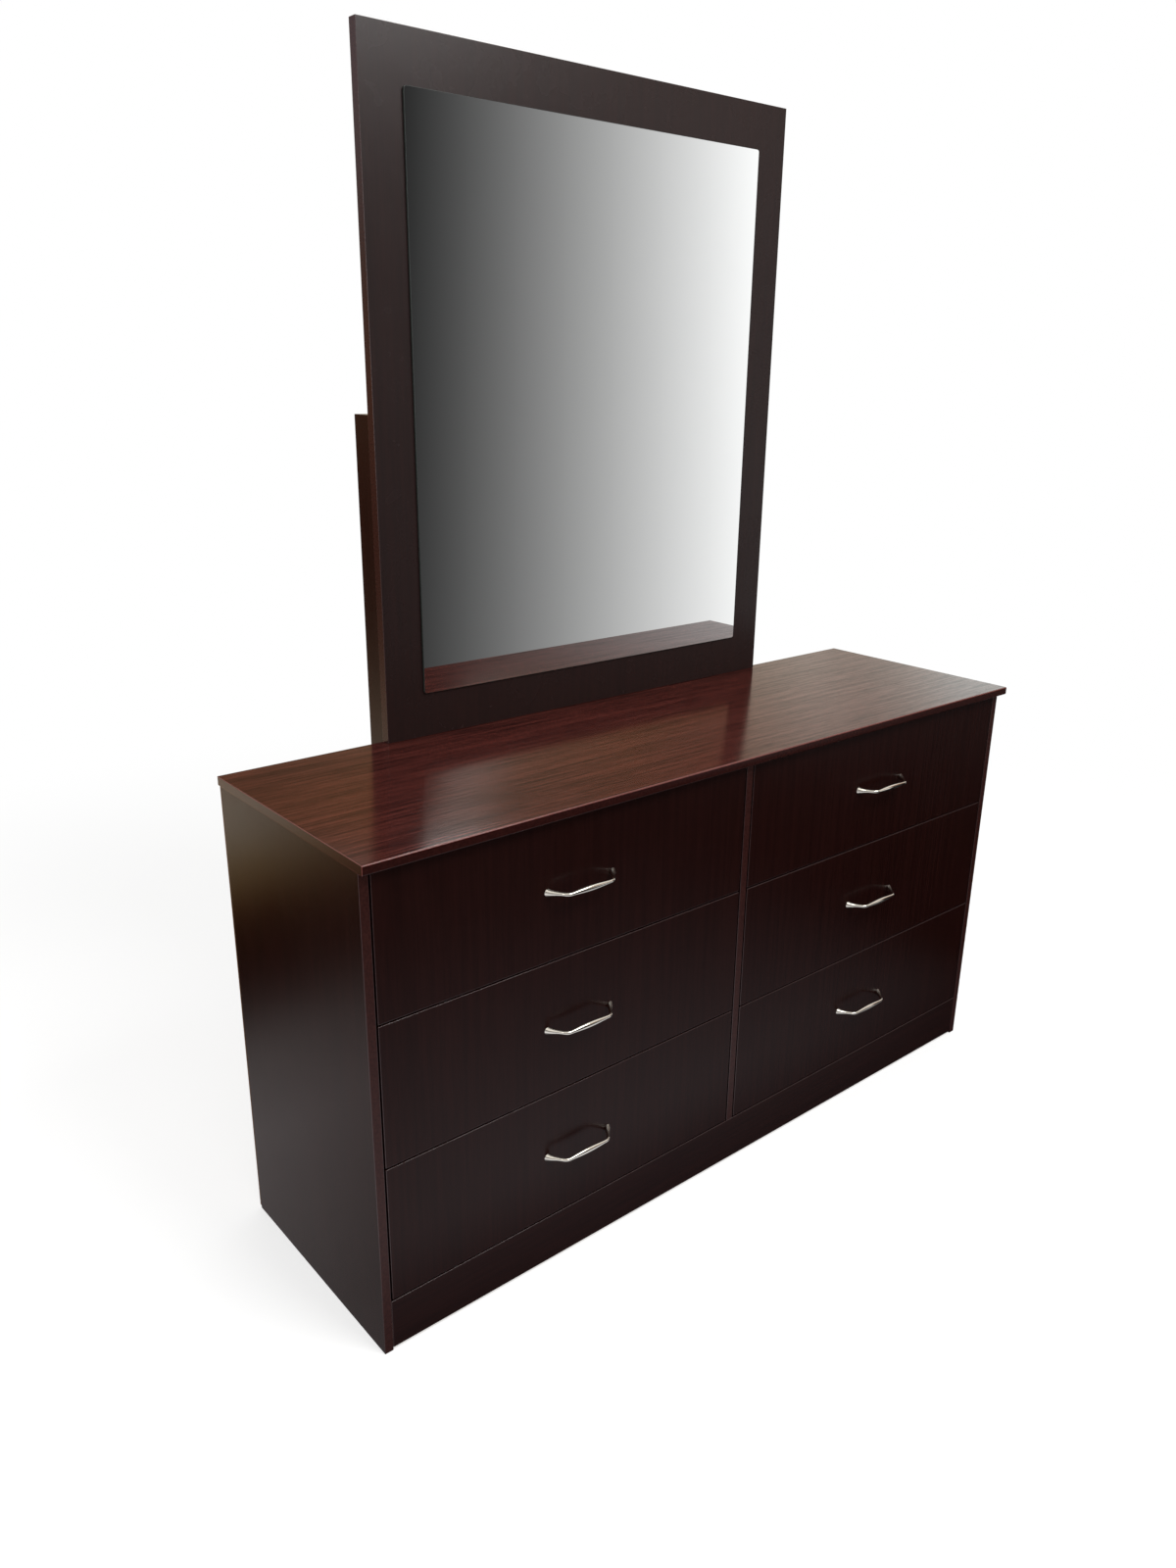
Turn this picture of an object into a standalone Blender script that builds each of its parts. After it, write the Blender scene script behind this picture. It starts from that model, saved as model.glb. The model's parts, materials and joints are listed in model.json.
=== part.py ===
"""Dressing table with mirror: a six-drawer dresser of coated board that carries a tall mirror.

Units are metres. +Z is up, the drawers face -Y, and +X is to the right of someone who stands in
front of it. The origin is on the floor, at the middle of the whole piece. Every drawer hangs under
its own empty and slides out along -Y on a pair of steel roller slides.
"""
import math

import bmesh
import bpy
from mathutils import Vector

# Boards and the small gaps between them
BOARD = 0.015                # carcass, plinth, rails and drawer fronts
BACK_BOARD = 0.003           # hardboard back and drawer bottoms
ARRIS = 0.0008               # softened edges of banded boards
SEAT = 0.0003                # gap between pieces that touch

# Dresser
TOP_WIDTH = 1.500
TOP_DEPTH = 0.450
TOP_HEIGHT = 0.816           # floor to the top's upper face
TOP_ROUND = 0.004            # rounded upper front edge of the top
TOP_UNDER_ROUND = 0.002      # rounded lower front edge of the top
ROUND_STEPS = 5
UNDER_ROUND_STEPS = 3
SIDE_OVERHANG = 0.003        # top past each side panel
FRONT_OVERHANG = 0.017       # top past the drawer fronts
ROWS = 3
PLINTH_LINE = 0.093          # floor to the middle of the gap over the plinth
PLINTH_LIFT = 0.005          # plinth and back rails clear the floor
FRONT_GAP = 0.003            # gap all round a drawer front
UPPER_RAIL_HEIGHT = 0.100

# Drawer boxes
BOX_BOARD = 0.012
BOX_REAR_ROOM = 0.0494       # behind a box, before the back rails
BOX_HEADROOM = 0.053         # box's upper edge under the front's upper edge
BOX_RISE = 0.030             # box's lower edge over the front's lower edge
GROOVE_RISE = 0.010          # bottom's groove over the box's lower edge
GROOVE_DEPTH = 0.006

# Roller slides
SLIDE_SPACE = 0.0125         # room between a drawer box and the board beside it
SLIDE_HEIGHT = 0.028         # channel that is screwed to the board
SLIDE_DROP = 0.002           # channel's lower face under the box's lower edge
STEEL = 0.0012
CHANNEL_LIP = 0.0025         # upturned lip of the channel's lower flange
RUN_GAP = 0.0008             # side play between a channel and a runner
SHELF_WIDTH = 0.009          # runner's flange under the drawer side
FLANGE_ROOM = 0.0048         # over the runner's flange, under the channel's roof
ROLLER_INSET = 0.014         # roller axles from the ends of the slide
ROLLER_PLAY = 0.0005
ROLLER_SIDES = 20
AXLE = 0.006
AXLE_SIDES = 10
SLIDE_HOLD = 0.080           # length of a slide that still overlaps when its drawer is all the way out
STOP_DEPTH = 0.0035          # tab bent down from the channel's roof, which ends the travel
SCREW_SLOT = 0.0045          # width of the slots in a channel's wall
SLOT_LENGTH = 0.009
SLOT_ARC_STEPS = 4
SLOT_SHARES = (0.10, 0.48, 0.86)    # places of the slots along a channel
SCREW_HOLE = 0.0045          # holes in a runner's lower flange
SCREW_HOLE_SIDES = 8
HOLE_SHARES = (0.12, 0.45, 0.82)    # places of the holes along a runner

# Bow handles
HANDLE_CENTRES = 0.128       # between the middles of the two feet
LEG_RUN = 0.020              # how far each leg leans in before its bend
HANDLE_REACH = 0.026         # drawer front to the bar's middle line
HANDLE_BEND = 0.014          # radius of each bend
FOOT_WIDTH = 0.013
FOOT_LAND = 0.0012           # straight rim of each foot
WAIST_WIDTH = 0.0058
BAR_WIDTH = 0.0104
BAR_FLATNESS = 0.85          # bar's depth as a part of its height
FLARE = 2.4                  # how quickly a foot narrows to the waist
SWELL = 1.3                  # how late the bar reaches its full width
LAND_SHARE = 1 / 3           # part of a leg over which its rings turn square to it
HANDLE_SIDES = 12
LEG_RINGS = 7
BEND_RINGS = 4
BAR_RINGS = 6                # from a bend to the middle of the bar
SHARP_ANGLE = 50             # degrees; a steeper edge of a handle stays sharp

# Mirror
MIRROR_BOARD = 0.018
MIRROR_WIDTH = 0.908
MIRROR_HEIGHT = 1.070
GLASS = 0.004
GLASS_SIDE_MARGIN = 0.073    # board that shows beside the glass
GLASS_MARGIN = 0.077         # board that shows over and under the glass
GLASS_CORNER = 0.005
CORNER_STEPS = 4
SUPPORT_WIDTH = 0.036
SUPPORT_DEPTH = 0.046
SUPPORT_INSET = 0.003        # support inside the mirror board's edge
SUPPORT_RISE = 0.534         # support's upper end over the dresser's top
SUPPORT_LIFT = 0.030         # support's lower end over the floor
SUNK_HOLE = 0.011            # screw heads lie sunk in the backs of the supports
SUNK_DEPTH = 0.006
SUNK_SIDES = 16
BOARD_SCREWS = (0.084, 0.304, 0.484)    # heights over the top of the screws into the mirror board

# Places that follow from the sizes
UNDERSIDE = TOP_HEIGHT - BOARD
PITCH = (UNDERSIDE - PLINTH_LINE) / ROWS
FRONT_HEIGHT = PITCH - FRONT_GAP
SIDE_X = TOP_WIDTH / 2 - SIDE_OVERHANG
BAY_WIDTH = SIDE_X - BOARD * 1.5
BAY_MIDDLE = (BOARD + BAY_WIDTH) / 2
FRONT_WIDTH = BAY_WIDTH - 2 * FRONT_GAP
BOX_WIDTH = BAY_WIDTH - 2 * SLIDE_SPACE
BOX_HEIGHT = FRONT_HEIGHT - BOX_RISE - BOX_HEADROOM
BAR_TIP = SEAT + HANDLE_REACH + BAR_WIDTH * BAR_FLATNESS / 2
TOTAL_DEPTH = max(BAR_TIP - FRONT_OVERHANG, 0) + TOP_DEPTH + SEAT + SUPPORT_DEPTH
TOP_BACK = TOTAL_DEPTH / 2 - SUPPORT_DEPTH - SEAT
TOP_FRONT = TOP_BACK - TOP_DEPTH
FRONT_Y = TOP_FRONT + FRONT_OVERHANG
INNER_BACK = TOP_BACK - BACK_BOARD - SEAT
RAIL_FRONT = INNER_BACK - BOARD
BOX_LENGTH = RAIL_FRONT - BOX_REAR_ROOM - FRONT_Y - BOARD - SEAT
FRONT_ROLLER = SLIDE_HEIGHT - 3 * STEEL - 2 * SEAT - FLANGE_ROOM
HANDLE_CORNERS = HANDLE_CENTRES - 2 * LEG_RUN
GLASS_WIDTH = MIRROR_WIDTH - 2 * GLASS_SIDE_MARGIN
GLASS_HEIGHT = MIRROR_HEIGHT - 2 * GLASS_MARGIN
GROOVE_TOP = BOX_RISE + GROOVE_RISE + BACK_BOARD + 2 * SEAT


def clear_scene():
    for item in list(bpy.data.objects):
        bpy.data.objects.remove(item)


def finish(name, colour, roughness, metallic=0.0):
    """One Principled material, made once for each kind of piece."""
    if name in bpy.data.materials:
        return bpy.data.materials[name]
    material = bpy.data.materials.new(name)
    material.use_nodes = True
    shader = material.node_tree.nodes["Principled BSDF"]
    shader.inputs["Base Color"].default_value = (*colour, 1.0)
    shader.inputs["Roughness"].default_value = roughness
    shader.inputs["Metallic"].default_value = metallic
    material.diffuse_color = (*colour, 1.0)
    return material


def front_board():
    return finish("dark red-brown board", (0.022, 0.010, 0.009), 0.30)


def top_board():
    return finish("red-brown grained top", (0.095, 0.030, 0.024), 0.22)


def box_board():
    return finish("drawer box board", (0.055, 0.026, 0.020), 0.50)


def hardboard():
    return finish("brown hardboard", (0.16, 0.085, 0.045), 0.75)


def slide_steel():
    return finish("coated slide steel", (0.62, 0.61, 0.58), 0.35, 0.2)


def handle_metal():
    return finish("polished handle metal", (0.72, 0.67, 0.58), 0.16, 1.0)


def silvered_glass():
    return finish("silvered glass", (0.86, 0.88, 0.88), 0.02, 1.0)


def to_mesh(bm, name):
    bmesh.ops.recalc_face_normals(bm, faces=bm.faces)
    mesh = bpy.data.meshes.new(name)
    bm.to_mesh(mesh)
    bm.free()
    return mesh


def place(name, mesh, material, location=(0, 0, 0), parent=None):
    """A named object of a mesh that several pieces may share."""
    if not mesh.materials:
        mesh.materials.append(material)
    item = bpy.data.objects.new(name, mesh)
    item.location = location
    item.parent = parent
    bpy.context.collection.objects.link(item)
    return item


def box_bmesh(low, high):
    bm = bmesh.new()
    bmesh.ops.create_cube(bm, size=1.0)
    low, high = Vector(low), Vector(high)
    for vert in bm.verts:
        for axis in range(3):
            vert.co[axis] = low[axis] if vert.co[axis] < 0 else high[axis]
    return bm


def board_mesh(name, low, high, soft=ARRIS):
    """A board with its edges softened, as edge banding leaves them."""
    bm = box_bmesh(low, high)
    if soft:
        bmesh.ops.bevel(bm, geom=bm.edges[:], offset=soft, segments=1, affect='EDGES')
    return to_mesh(bm, name)


def extrude_outline(name, outline, along, start, end):
    """A closed outline, given in the two axes other than the one it is drawn out along."""
    bm = bmesh.new()
    across = [axis for axis in range(3) if axis != along]
    ring = []
    for point in outline:
        co = [0.0, 0.0, 0.0]
        co[across[0]], co[across[1]] = point
        co[along] = start
        ring.append(bm.verts.new(co))
    face = bm.faces.new(ring)
    drawn = bmesh.ops.extrude_face_region(bm, geom=[face])
    step = Vector([0.0, 0.0, 0.0])
    step[along] = end - start
    moved = [item for item in drawn["geom"] if isinstance(item, bmesh.types.BMVert)]
    bmesh.ops.translate(bm, vec=step, verts=moved)
    return to_mesh(bm, name)


def arc(centre, radius, first, last, steps):
    """Points on an arc, with its angles in degrees."""
    points = []
    for step in range(steps + 1):
        angle = math.radians(first + (last - first) * step / steps)
        points.append((centre[0] + radius * math.cos(angle), centre[1] + radius * math.sin(angle)))
    return points


def merged(name, meshes, operation='UNION'):
    """One mesh from a first mesh and the ones that are joined to it or cut from it."""
    items = [place(f"{name}_{i}", mesh, box_board()) for i, mesh in enumerate(meshes)]
    for other in items[1:]:
        change = items[0].modifiers.new(other.name, 'BOOLEAN')
        change.operation = operation
        change.solver = 'EXACT'
        change.object = other
    depsgraph = bpy.context.evaluated_depsgraph_get()
    result = bpy.data.meshes.new_from_object(items[0].evaluated_get(depsgraph))
    for item in items:
        bpy.data.objects.remove(item)
    result.name = name
    result.materials.clear()
    return result


def cylinder_mesh(name, centre, radius, start, end, segments, along=0):
    """A cylinder along one axis, with its centre given in the other two."""
    outline = arc(centre, radius, 0, 360 - 360 / segments, segments - 1)
    return extrude_outline(name, outline, along, start, end)


def slot_mesh(name, centre, width, length, start, end):
    """A block along X with round ends, longest along Y."""
    y, z = centre
    reach, r = (length - width) / 2, width / 2
    outline = arc((y + reach, z), r, -90, 90, SLOT_ARC_STEPS)
    outline += arc((y - reach, z), r, 90, 270, SLOT_ARC_STEPS)
    return extrude_outline(name, outline, 0, start, end)


def flip_x(mesh, name):
    """The mirrored hand of a mesh."""
    bm = bmesh.new()
    bm.from_mesh(mesh)
    for vert in bm.verts:
        vert.co.x = -vert.co.x
    bmesh.ops.reverse_faces(bm, faces=bm.faces[:])
    return to_mesh(bm, name)


def make_top():
    """The top, drawn out along its length from a section with a rounded front edge."""
    low, high = UNDERSIDE, TOP_HEIGHT
    outline = [(TOP_BACK, low), (TOP_BACK, high - ARRIS), (TOP_BACK - ARRIS, high)]
    outline += arc((TOP_FRONT + TOP_ROUND, high - TOP_ROUND), TOP_ROUND, 90, 180, ROUND_STEPS)
    r = TOP_UNDER_ROUND
    outline += arc((TOP_FRONT + r, low + r), r, 180, 270, UNDER_ROUND_STEPS)
    place("top_panel", extrude_outline("top", outline, 0, -TOP_WIDTH / 2, TOP_WIDTH / 2), top_board())


def make_sides():
    for name, side in (("side_panel_left", -1), ("side_panel_right", 1)):
        outer, inner = side * SIDE_X, side * (SIDE_X - BOARD)
        low = (min(outer, inner), FRONT_Y, 0.0)
        high = (max(outer, inner), INNER_BACK, UNDERSIDE - SEAT)
        place(name, board_mesh(name, low, high), front_board())


def make_divider():
    """The board between the two columns, notched over the plinth and short of the back rails."""
    back = RAIL_FRONT - SEAT
    notch_y = FRONT_Y + BOARD + SEAT
    notch_z = PLINTH_LINE - FRONT_GAP / 2 + SEAT
    top = UNDERSIDE - SEAT
    outline = [(notch_y, 0.0), (back, 0.0), (back, top), (FRONT_Y, top)]
    outline += [(FRONT_Y, notch_z), (notch_y, notch_z)]
    mesh = extrude_outline("divider", outline, 0, -BOARD / 2, BOARD / 2)
    place("centre_divider", mesh, front_board())


def make_rails():
    """Plinth and back rails, which run from side panel to side panel."""
    reach = SIDE_X - BOARD - SEAT
    plinth_top = PLINTH_LINE - FRONT_GAP / 2
    rails = (
        ("plinth_front", FRONT_Y, PLINTH_LIFT, plinth_top),
        ("back_rail_lower", RAIL_FRONT, PLINTH_LIFT, plinth_top),
        ("back_rail_upper", RAIL_FRONT, UNDERSIDE - SEAT - UPPER_RAIL_HEIGHT, UNDERSIDE - SEAT),
    )
    for name, y, low, high in rails:
        mesh = board_mesh(name, (-reach, y, low), (reach, y + BOARD, high))
        place(name, mesh, front_board())


def make_back():
    low = (-SIDE_X, TOP_BACK - BACK_BOARD, PLINTH_LIFT)
    high = (SIDE_X, TOP_BACK, UNDERSIDE - SEAT)
    place("back_panel", board_mesh("back", low, high, soft=0), hardboard())


def make_mirror():
    """Mirror board flush with the back of the top, the glass on its face and two posts behind it."""
    foot = TOP_HEIGHT + SEAT
    front = TOP_BACK - MIRROR_BOARD
    low = (-MIRROR_WIDTH / 2, front, foot)
    high = (MIRROR_WIDTH / 2, TOP_BACK, foot + MIRROR_HEIGHT)
    place("mirror_board", board_mesh("mirror_board", low, high), front_board())

    half, bottom = GLASS_WIDTH / 2, foot + GLASS_MARGIN
    inner, r = half - GLASS_CORNER, GLASS_CORNER
    upper, lower = bottom + GLASS_HEIGHT - r, bottom + r
    outline = []
    corners = ((inner, upper), (-inner, upper), (-inner, lower), (inner, lower))
    for quarter, corner in enumerate(corners):
        outline += arc(corner, r, 90 * quarter, 90 * quarter + 90, CORNER_STEPS)
    mesh = extrude_outline("glass", outline, 1, front - SEAT - GLASS, front - SEAT)
    place("mirror_glass", mesh, silvered_glass())

    for name, side in (("mirror_support_left", -1), ("mirror_support_right", 1)):
        place(name, support_mesh(name, side), front_board())


def support_mesh(name, side):
    """A post that is screwed from behind to both back rails and to the mirror board."""
    outer = side * (MIRROR_WIDTH / 2 - SUPPORT_INSET)
    inner = outer - side * SUPPORT_WIDTH
    back = TOP_BACK + SEAT + SUPPORT_DEPTH
    low = (min(outer, inner), TOP_BACK + SEAT, SUPPORT_LIFT)
    high = (max(outer, inner), back, TOP_HEIGHT + SUPPORT_RISE)
    heights = [PLINTH_LINE / 2, UNDERSIDE - UPPER_RAIL_HEIGHT / 2]
    heights += [TOP_HEIGHT + rise for rise in BOARD_SCREWS]
    middle = (outer + inner) / 2
    pieces = [board_mesh("post", low, high)]
    for z in heights:
        bed, past = back - SUNK_DEPTH, back + SUNK_DEPTH
        pieces.append(cylinder_mesh("sunk_hole", (middle, z), SUNK_HOLE / 2, bed, past, SUNK_SIDES, 1))
    return merged(name, pieces, 'DIFFERENCE')


def slide_levels():
    """Heights of a slide's parts over the lower edge of the drawer front."""
    base = BOX_RISE - SLIDE_DROP
    floor = base + STEEL
    front_axle = floor + SEAT + FRONT_ROLLER / 2
    flange = front_axle + FRONT_ROLLER / 2 + SEAT
    ceiling = base + SLIDE_HEIGHT - STEEL
    rear_roller = ceiling - ROLLER_PLAY - floor - SEAT
    rear_axle = floor + SEAT + rear_roller / 2
    return base, front_axle, flange, rear_axle, rear_roller


def channel_mesh():
    """The slide half that is screwed to the left of a bay, with its roller at the front end.

    X counts from the face of the board that carries it, Y from the back of the drawer front.
    """
    base, axle_z, _, _, _ = slide_levels()
    wall = SEAT
    reach = SLIDE_SPACE - STEEL - RUN_GAP
    upper = base + SLIDE_HEIGHT
    roof = reach - 2 * STEEL
    outline = [
        (wall, base), (reach, base), (reach, base + STEEL + CHANNEL_LIP),
        (reach - STEEL, base + STEEL + CHANNEL_LIP), (reach - STEEL, base + STEEL),
        (wall + STEEL, base + STEEL), (wall + STEEL, upper - STEEL), (roof, upper - STEEL),
        (roof, upper), (wall, upper),
    ]
    sheet = extrude_outline("channel", outline, 1, SEAT, SEAT + BOX_LENGTH)
    slots = []
    for share in SLOT_SHARES:
        centre = (SEAT + BOX_LENGTH * share, base + SLIDE_HEIGHT / 2)
        slots.append(slot_mesh("screw_slot", centre, SCREW_SLOT, SLOT_LENGTH, 0, wall + 2 * STEEL))
    body = merged("slotted_channel", [sheet, *slots], 'DIFFERENCE')
    y = SEAT + ROLLER_INSET
    wheel_from, wheel_to = wall + STEEL + ROLLER_PLAY, reach - STEEL - ROLLER_PLAY
    wheel = cylinder_mesh("wheel", (y, axle_z), FRONT_ROLLER / 2, wheel_from, wheel_to, ROLLER_SIDES)
    axle = cylinder_mesh("axle", (y, axle_z), AXLE / 2, wall + STEEL / 2, wheel_to - STEEL, AXLE_SIDES)
    stop = channel_stop(wall + STEEL / 2, roof, upper - STEEL)
    return merged("slide_channel", [body, wheel, axle, stop])


def channel_stop(wall, edge, ceiling):
    """The tab that the runner's roller meets when the drawer is all the way out."""
    _, _, _, axle_z, roller = slide_levels()
    low = ceiling - STOP_DEPTH
    contact = math.sqrt((roller / 2) ** 2 - (low - axle_z) ** 2)
    back = SEAT + SLIDE_HOLD - ROLLER_INSET - contact - ROLLER_PLAY
    return to_mesh(box_bmesh((wall, back - STEEL, low), (edge, back, ceiling + STEEL / 2)), "stop")


def box_side_mesh():
    """Left side of a drawer box: a grooved board on its steel runner, with a roller at the back.

    X counts from the middle of the drawer, Y from the outer face of the drawer front.
    """
    _, _, flange, axle_z, roller = slide_levels()
    outer = -BOX_WIDTH / 2
    inner = outer + BOX_BOARD
    low, high = BOX_RISE, BOX_RISE + BOX_HEIGHT
    groove = low + GROOVE_RISE
    start = BOARD + SEAT
    end = start + BOX_LENGTH
    board = [
        (outer, low), (inner, low), (inner, groove), (inner - GROOVE_DEPTH, groove),
        (inner - GROOVE_DEPTH, GROOVE_TOP), (inner, GROOVE_TOP), (inner, high), (outer, high),
    ]
    web = outer - STEEL
    bite = STEEL / 4
    angle = [
        (web, low - STEEL), (outer + SHELF_WIDTH, low - STEEL), (outer + SHELF_WIDTH, low + bite),
        (outer + bite, low + bite), (outer + bite, flange + STEEL), (web, flange + STEEL),
    ]
    flange_out = outer - SLIDE_SPACE + SEAT + 2 * STEEL
    wing = [(flange_out, flange), (web + bite, flange), (web + bite, flange + STEEL),
            (flange_out, flange + STEEL)]
    axle_y = end - ROLLER_INSET
    wheel_from = outer - SLIDE_SPACE + SEAT + STEEL + ROLLER_PLAY
    wheel_to = web - RUN_GAP - STEEL - ROLLER_PLAY
    wing_end = axle_y - roller / 2 - SEAT
    pieces = [
        extrude_outline("board", board, 1, start, end),
        extrude_outline("angle", angle, 1, start + STEEL, end - SEAT),
        extrude_outline("wing", wing, 1, start + STEEL, wing_end),
        cylinder_mesh("wheel", (axle_y, axle_z), roller / 2, wheel_from, wheel_to, ROLLER_SIDES),
        cylinder_mesh("axle", (axle_y, axle_z), AXLE / 2, wheel_from + STEEL, outer + bite, AXLE_SIDES),
    ]
    holes = []
    for share in HOLE_SHARES:
        centre = (outer + SHELF_WIDTH / 2, start + BOX_LENGTH * share)
        hole = cylinder_mesh("screw_hole", centre, SCREW_HOLE / 2, low - 2 * STEEL, low, SCREW_HOLE_SIDES, 2)
        holes.append(hole)
    return merged("drilled_box_side", [merged("box_side", pieces), *holes], 'DIFFERENCE')


def front_mesh():
    """A drawer front with a groove in its back for the bottom."""
    half = FRONT_WIDTH / 2
    board = board_mesh("front_board", (-half, 0.0, 0.0), (half, BOARD, FRONT_HEIGHT))
    low = BOX_RISE + GROOVE_RISE
    reach = BOX_WIDTH / 2
    groove = box_bmesh((-reach, BOARD - GROOVE_DEPTH, low), (reach, BOARD + GROOVE_DEPTH, GROOVE_TOP))
    return merged("drawer_front", [board, to_mesh(groove, "front_groove")], 'DIFFERENCE')


def box_back_mesh():
    reach = BOX_WIDTH / 2 - BOX_BOARD - SEAT
    end = BOARD + SEAT + BOX_LENGTH
    return board_mesh("box_back", (-reach, end - BOX_BOARD, GROOVE_TOP), (reach, end, BOX_RISE + BOX_HEIGHT))


def box_bottom_mesh():
    reach = BOX_WIDTH / 2 - BOX_BOARD + GROOVE_DEPTH - SEAT
    low = BOX_RISE + GROOVE_RISE + SEAT
    start = BOARD - GROOVE_DEPTH + SEAT
    end = BOARD + SEAT + BOX_LENGTH
    return board_mesh("box_bottom", (-reach, start, low), (reach, end, low + BACK_BOARD), soft=0)


def handle_path():
    """Middle line of half a handle, from its right foot to the middle of the bar.

    Each station holds a place, a direction, and how far it is along the leg and along the bar.
    X counts from the middle of the handle and Y from the drawer front.
    """
    splay = math.atan2(HANDLE_REACH, (HANDLE_CENTRES - HANDLE_CORNERS) / 2)
    cut = HANDLE_BEND * math.tan(splay / 2)
    leg = Vector((-math.cos(splay), -math.sin(splay)))
    leg_length = HANDLE_REACH / math.sin(splay) - cut
    foot = Vector((HANDLE_CENTRES / 2, 0.0))
    stations = [(foot, leg, 0.0, 0.0)]
    rim = FOOT_LAND / leg_length
    for step in range(LEG_RINGS):
        share = rim + (1 - rim) * step / (LEG_RINGS - 1)
        stations.append((foot + leg * leg_length * share, leg, share, 0.0))
    centre = Vector((HANDLE_CORNERS / 2 - cut, HANDLE_BEND - HANDLE_REACH))
    for step in range(1, BEND_RINGS + 1):
        angle = splay * (1 - step / BEND_RINGS)
        spoke = Vector((math.sin(angle), -math.cos(angle))) * HANDLE_BEND
        stations.append((centre + spoke, Vector((-math.cos(angle), -math.sin(angle))), 1.0, 0.0))
    for step in range(1, BAR_RINGS + 1):
        share = step / BAR_RINGS
        stations.append((Vector((centre.x * (1 - share), -HANDLE_REACH)), Vector((-1.0, 0.0)), 1.0, share))
    return stations


def handle_radius(leg_share, bar_share):
    """Trumpet foot, slim waist at the bend and a bar that swells to its middle."""
    flare = (1 - leg_share) ** FLARE
    swell = math.sin(bar_share * math.pi / 2) ** SWELL
    return (WAIST_WIDTH + (FOOT_WIDTH - WAIST_WIDTH) * flare + (BAR_WIDTH - WAIST_WIDTH) * swell) / 2


def handle_mesh():
    """A bow handle lofted through rings that turn with its middle line, and lie flat at its feet."""
    half = handle_path()
    left = [(Vector((-p.x, p.y)), Vector((-d.x, d.y)), leg, bar) for p, d, leg, bar in half[:-1]]
    right = [(p, -d, leg, bar) for p, d, leg, bar in reversed(half)]
    bm = bmesh.new()
    rings = []
    for spot, direction, leg, bar in left + right:
        radius = handle_radius(leg, bar)
        flat = max(0.0, 1 - leg / LAND_SHARE)
        tilt = Vector((-direction.y, direction.x, 0.0))
        level = Vector((math.copysign(1.0, tilt.x), 0.0, 0.0))
        across = tilt.lerp(level, flat).normalized()
        depth = 1 - (1 - BAR_FLATNESS) * bar
        ring = []
        for side in range(HANDLE_SIDES):
            angle = 2 * math.pi * (side + 0.5) / HANDLE_SIDES
            point = Vector((spot.x, spot.y, radius * math.sin(angle)))
            ring.append(bm.verts.new(point + across * (radius * depth * math.cos(angle))))
        rings.append(ring)
    for one, two in zip(rings, rings[1:]):
        for side in range(HANDLE_SIDES):
            after = (side + 1) % HANDLE_SIDES
            bm.faces.new((one[side], one[after], two[after], two[side]))
    bm.faces.new(rings[0])
    bm.faces.new(rings[-1])
    mesh = to_mesh(bm, "bow_handle")
    mesh.shade_smooth()
    mesh.set_sharp_from_angle(angle=math.radians(SHARP_ANGLE))
    return mesh


def make_drawers():
    """Six like drawers, each under an empty, and the two channels that carry each of them."""
    front, back, bottom, handle = front_mesh(), box_back_mesh(), box_bottom_mesh(), handle_mesh()
    left_side = box_side_mesh()
    right_side = flip_x(left_side, "box_side_right")
    left_channel = channel_mesh()
    right_channel = flip_x(left_channel, "slide_channel_right")
    for row, level in enumerate(("bottom", "middle", "top")):
        for column, x in (("left", -BAY_MIDDLE), ("right", BAY_MIDDLE)):
            name = f"{level}_{column}"
            corner = Vector((x, FRONT_Y, PLINTH_LINE + FRONT_GAP / 2 + row * PITCH))
            slide = bpy.data.objects.new(f"{name}_slide", None)
            slide.location = corner
            bpy.context.collection.objects.link(slide)
            place(f"{name}_drawer_front", front, front_board(), parent=slide)
            place(f"{name}_drawer_side_left", left_side, box_board(), parent=slide)
            place(f"{name}_drawer_side_right", right_side, box_board(), parent=slide)
            place(f"{name}_drawer_back", back, box_board(), parent=slide)
            place(f"{name}_drawer_bottom", bottom, hardboard(), parent=slide)
            grip = (0.0, -SEAT, FRONT_HEIGHT / 2)
            place(f"{name}_handle", handle, handle_metal(), grip, slide)
            rail_y = FRONT_Y + BOARD
            left, right = x - BAY_WIDTH / 2, x + BAY_WIDTH / 2
            place(f"{name}_channel_left", left_channel, slide_steel(), (left, rail_y, corner.z))
            place(f"{name}_channel_right", right_channel, slide_steel(), (right, rail_y, corner.z))


clear_scene()
make_top()
make_sides()
make_divider()
make_rails()
make_back()
make_mirror()
make_drawers()
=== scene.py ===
# %% [markdown]
# # A dressing table with a mirror
#
# A wide dresser of dark mahogany-coloured board holds six drawers on steel roller slides. A tall mirror
# board stands on the back of its top. The solids already exist, at their real size: this script gives
# them their finish, and puts finer pieces in the place of the plain ones.
#
# Each one is an object at the origin, with its place in its mesh. Nothing here moves or resizes them.

# %% Load the frame
import json
import math

import bmesh
import bpy
from mathutils import Matrix, Vector


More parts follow.
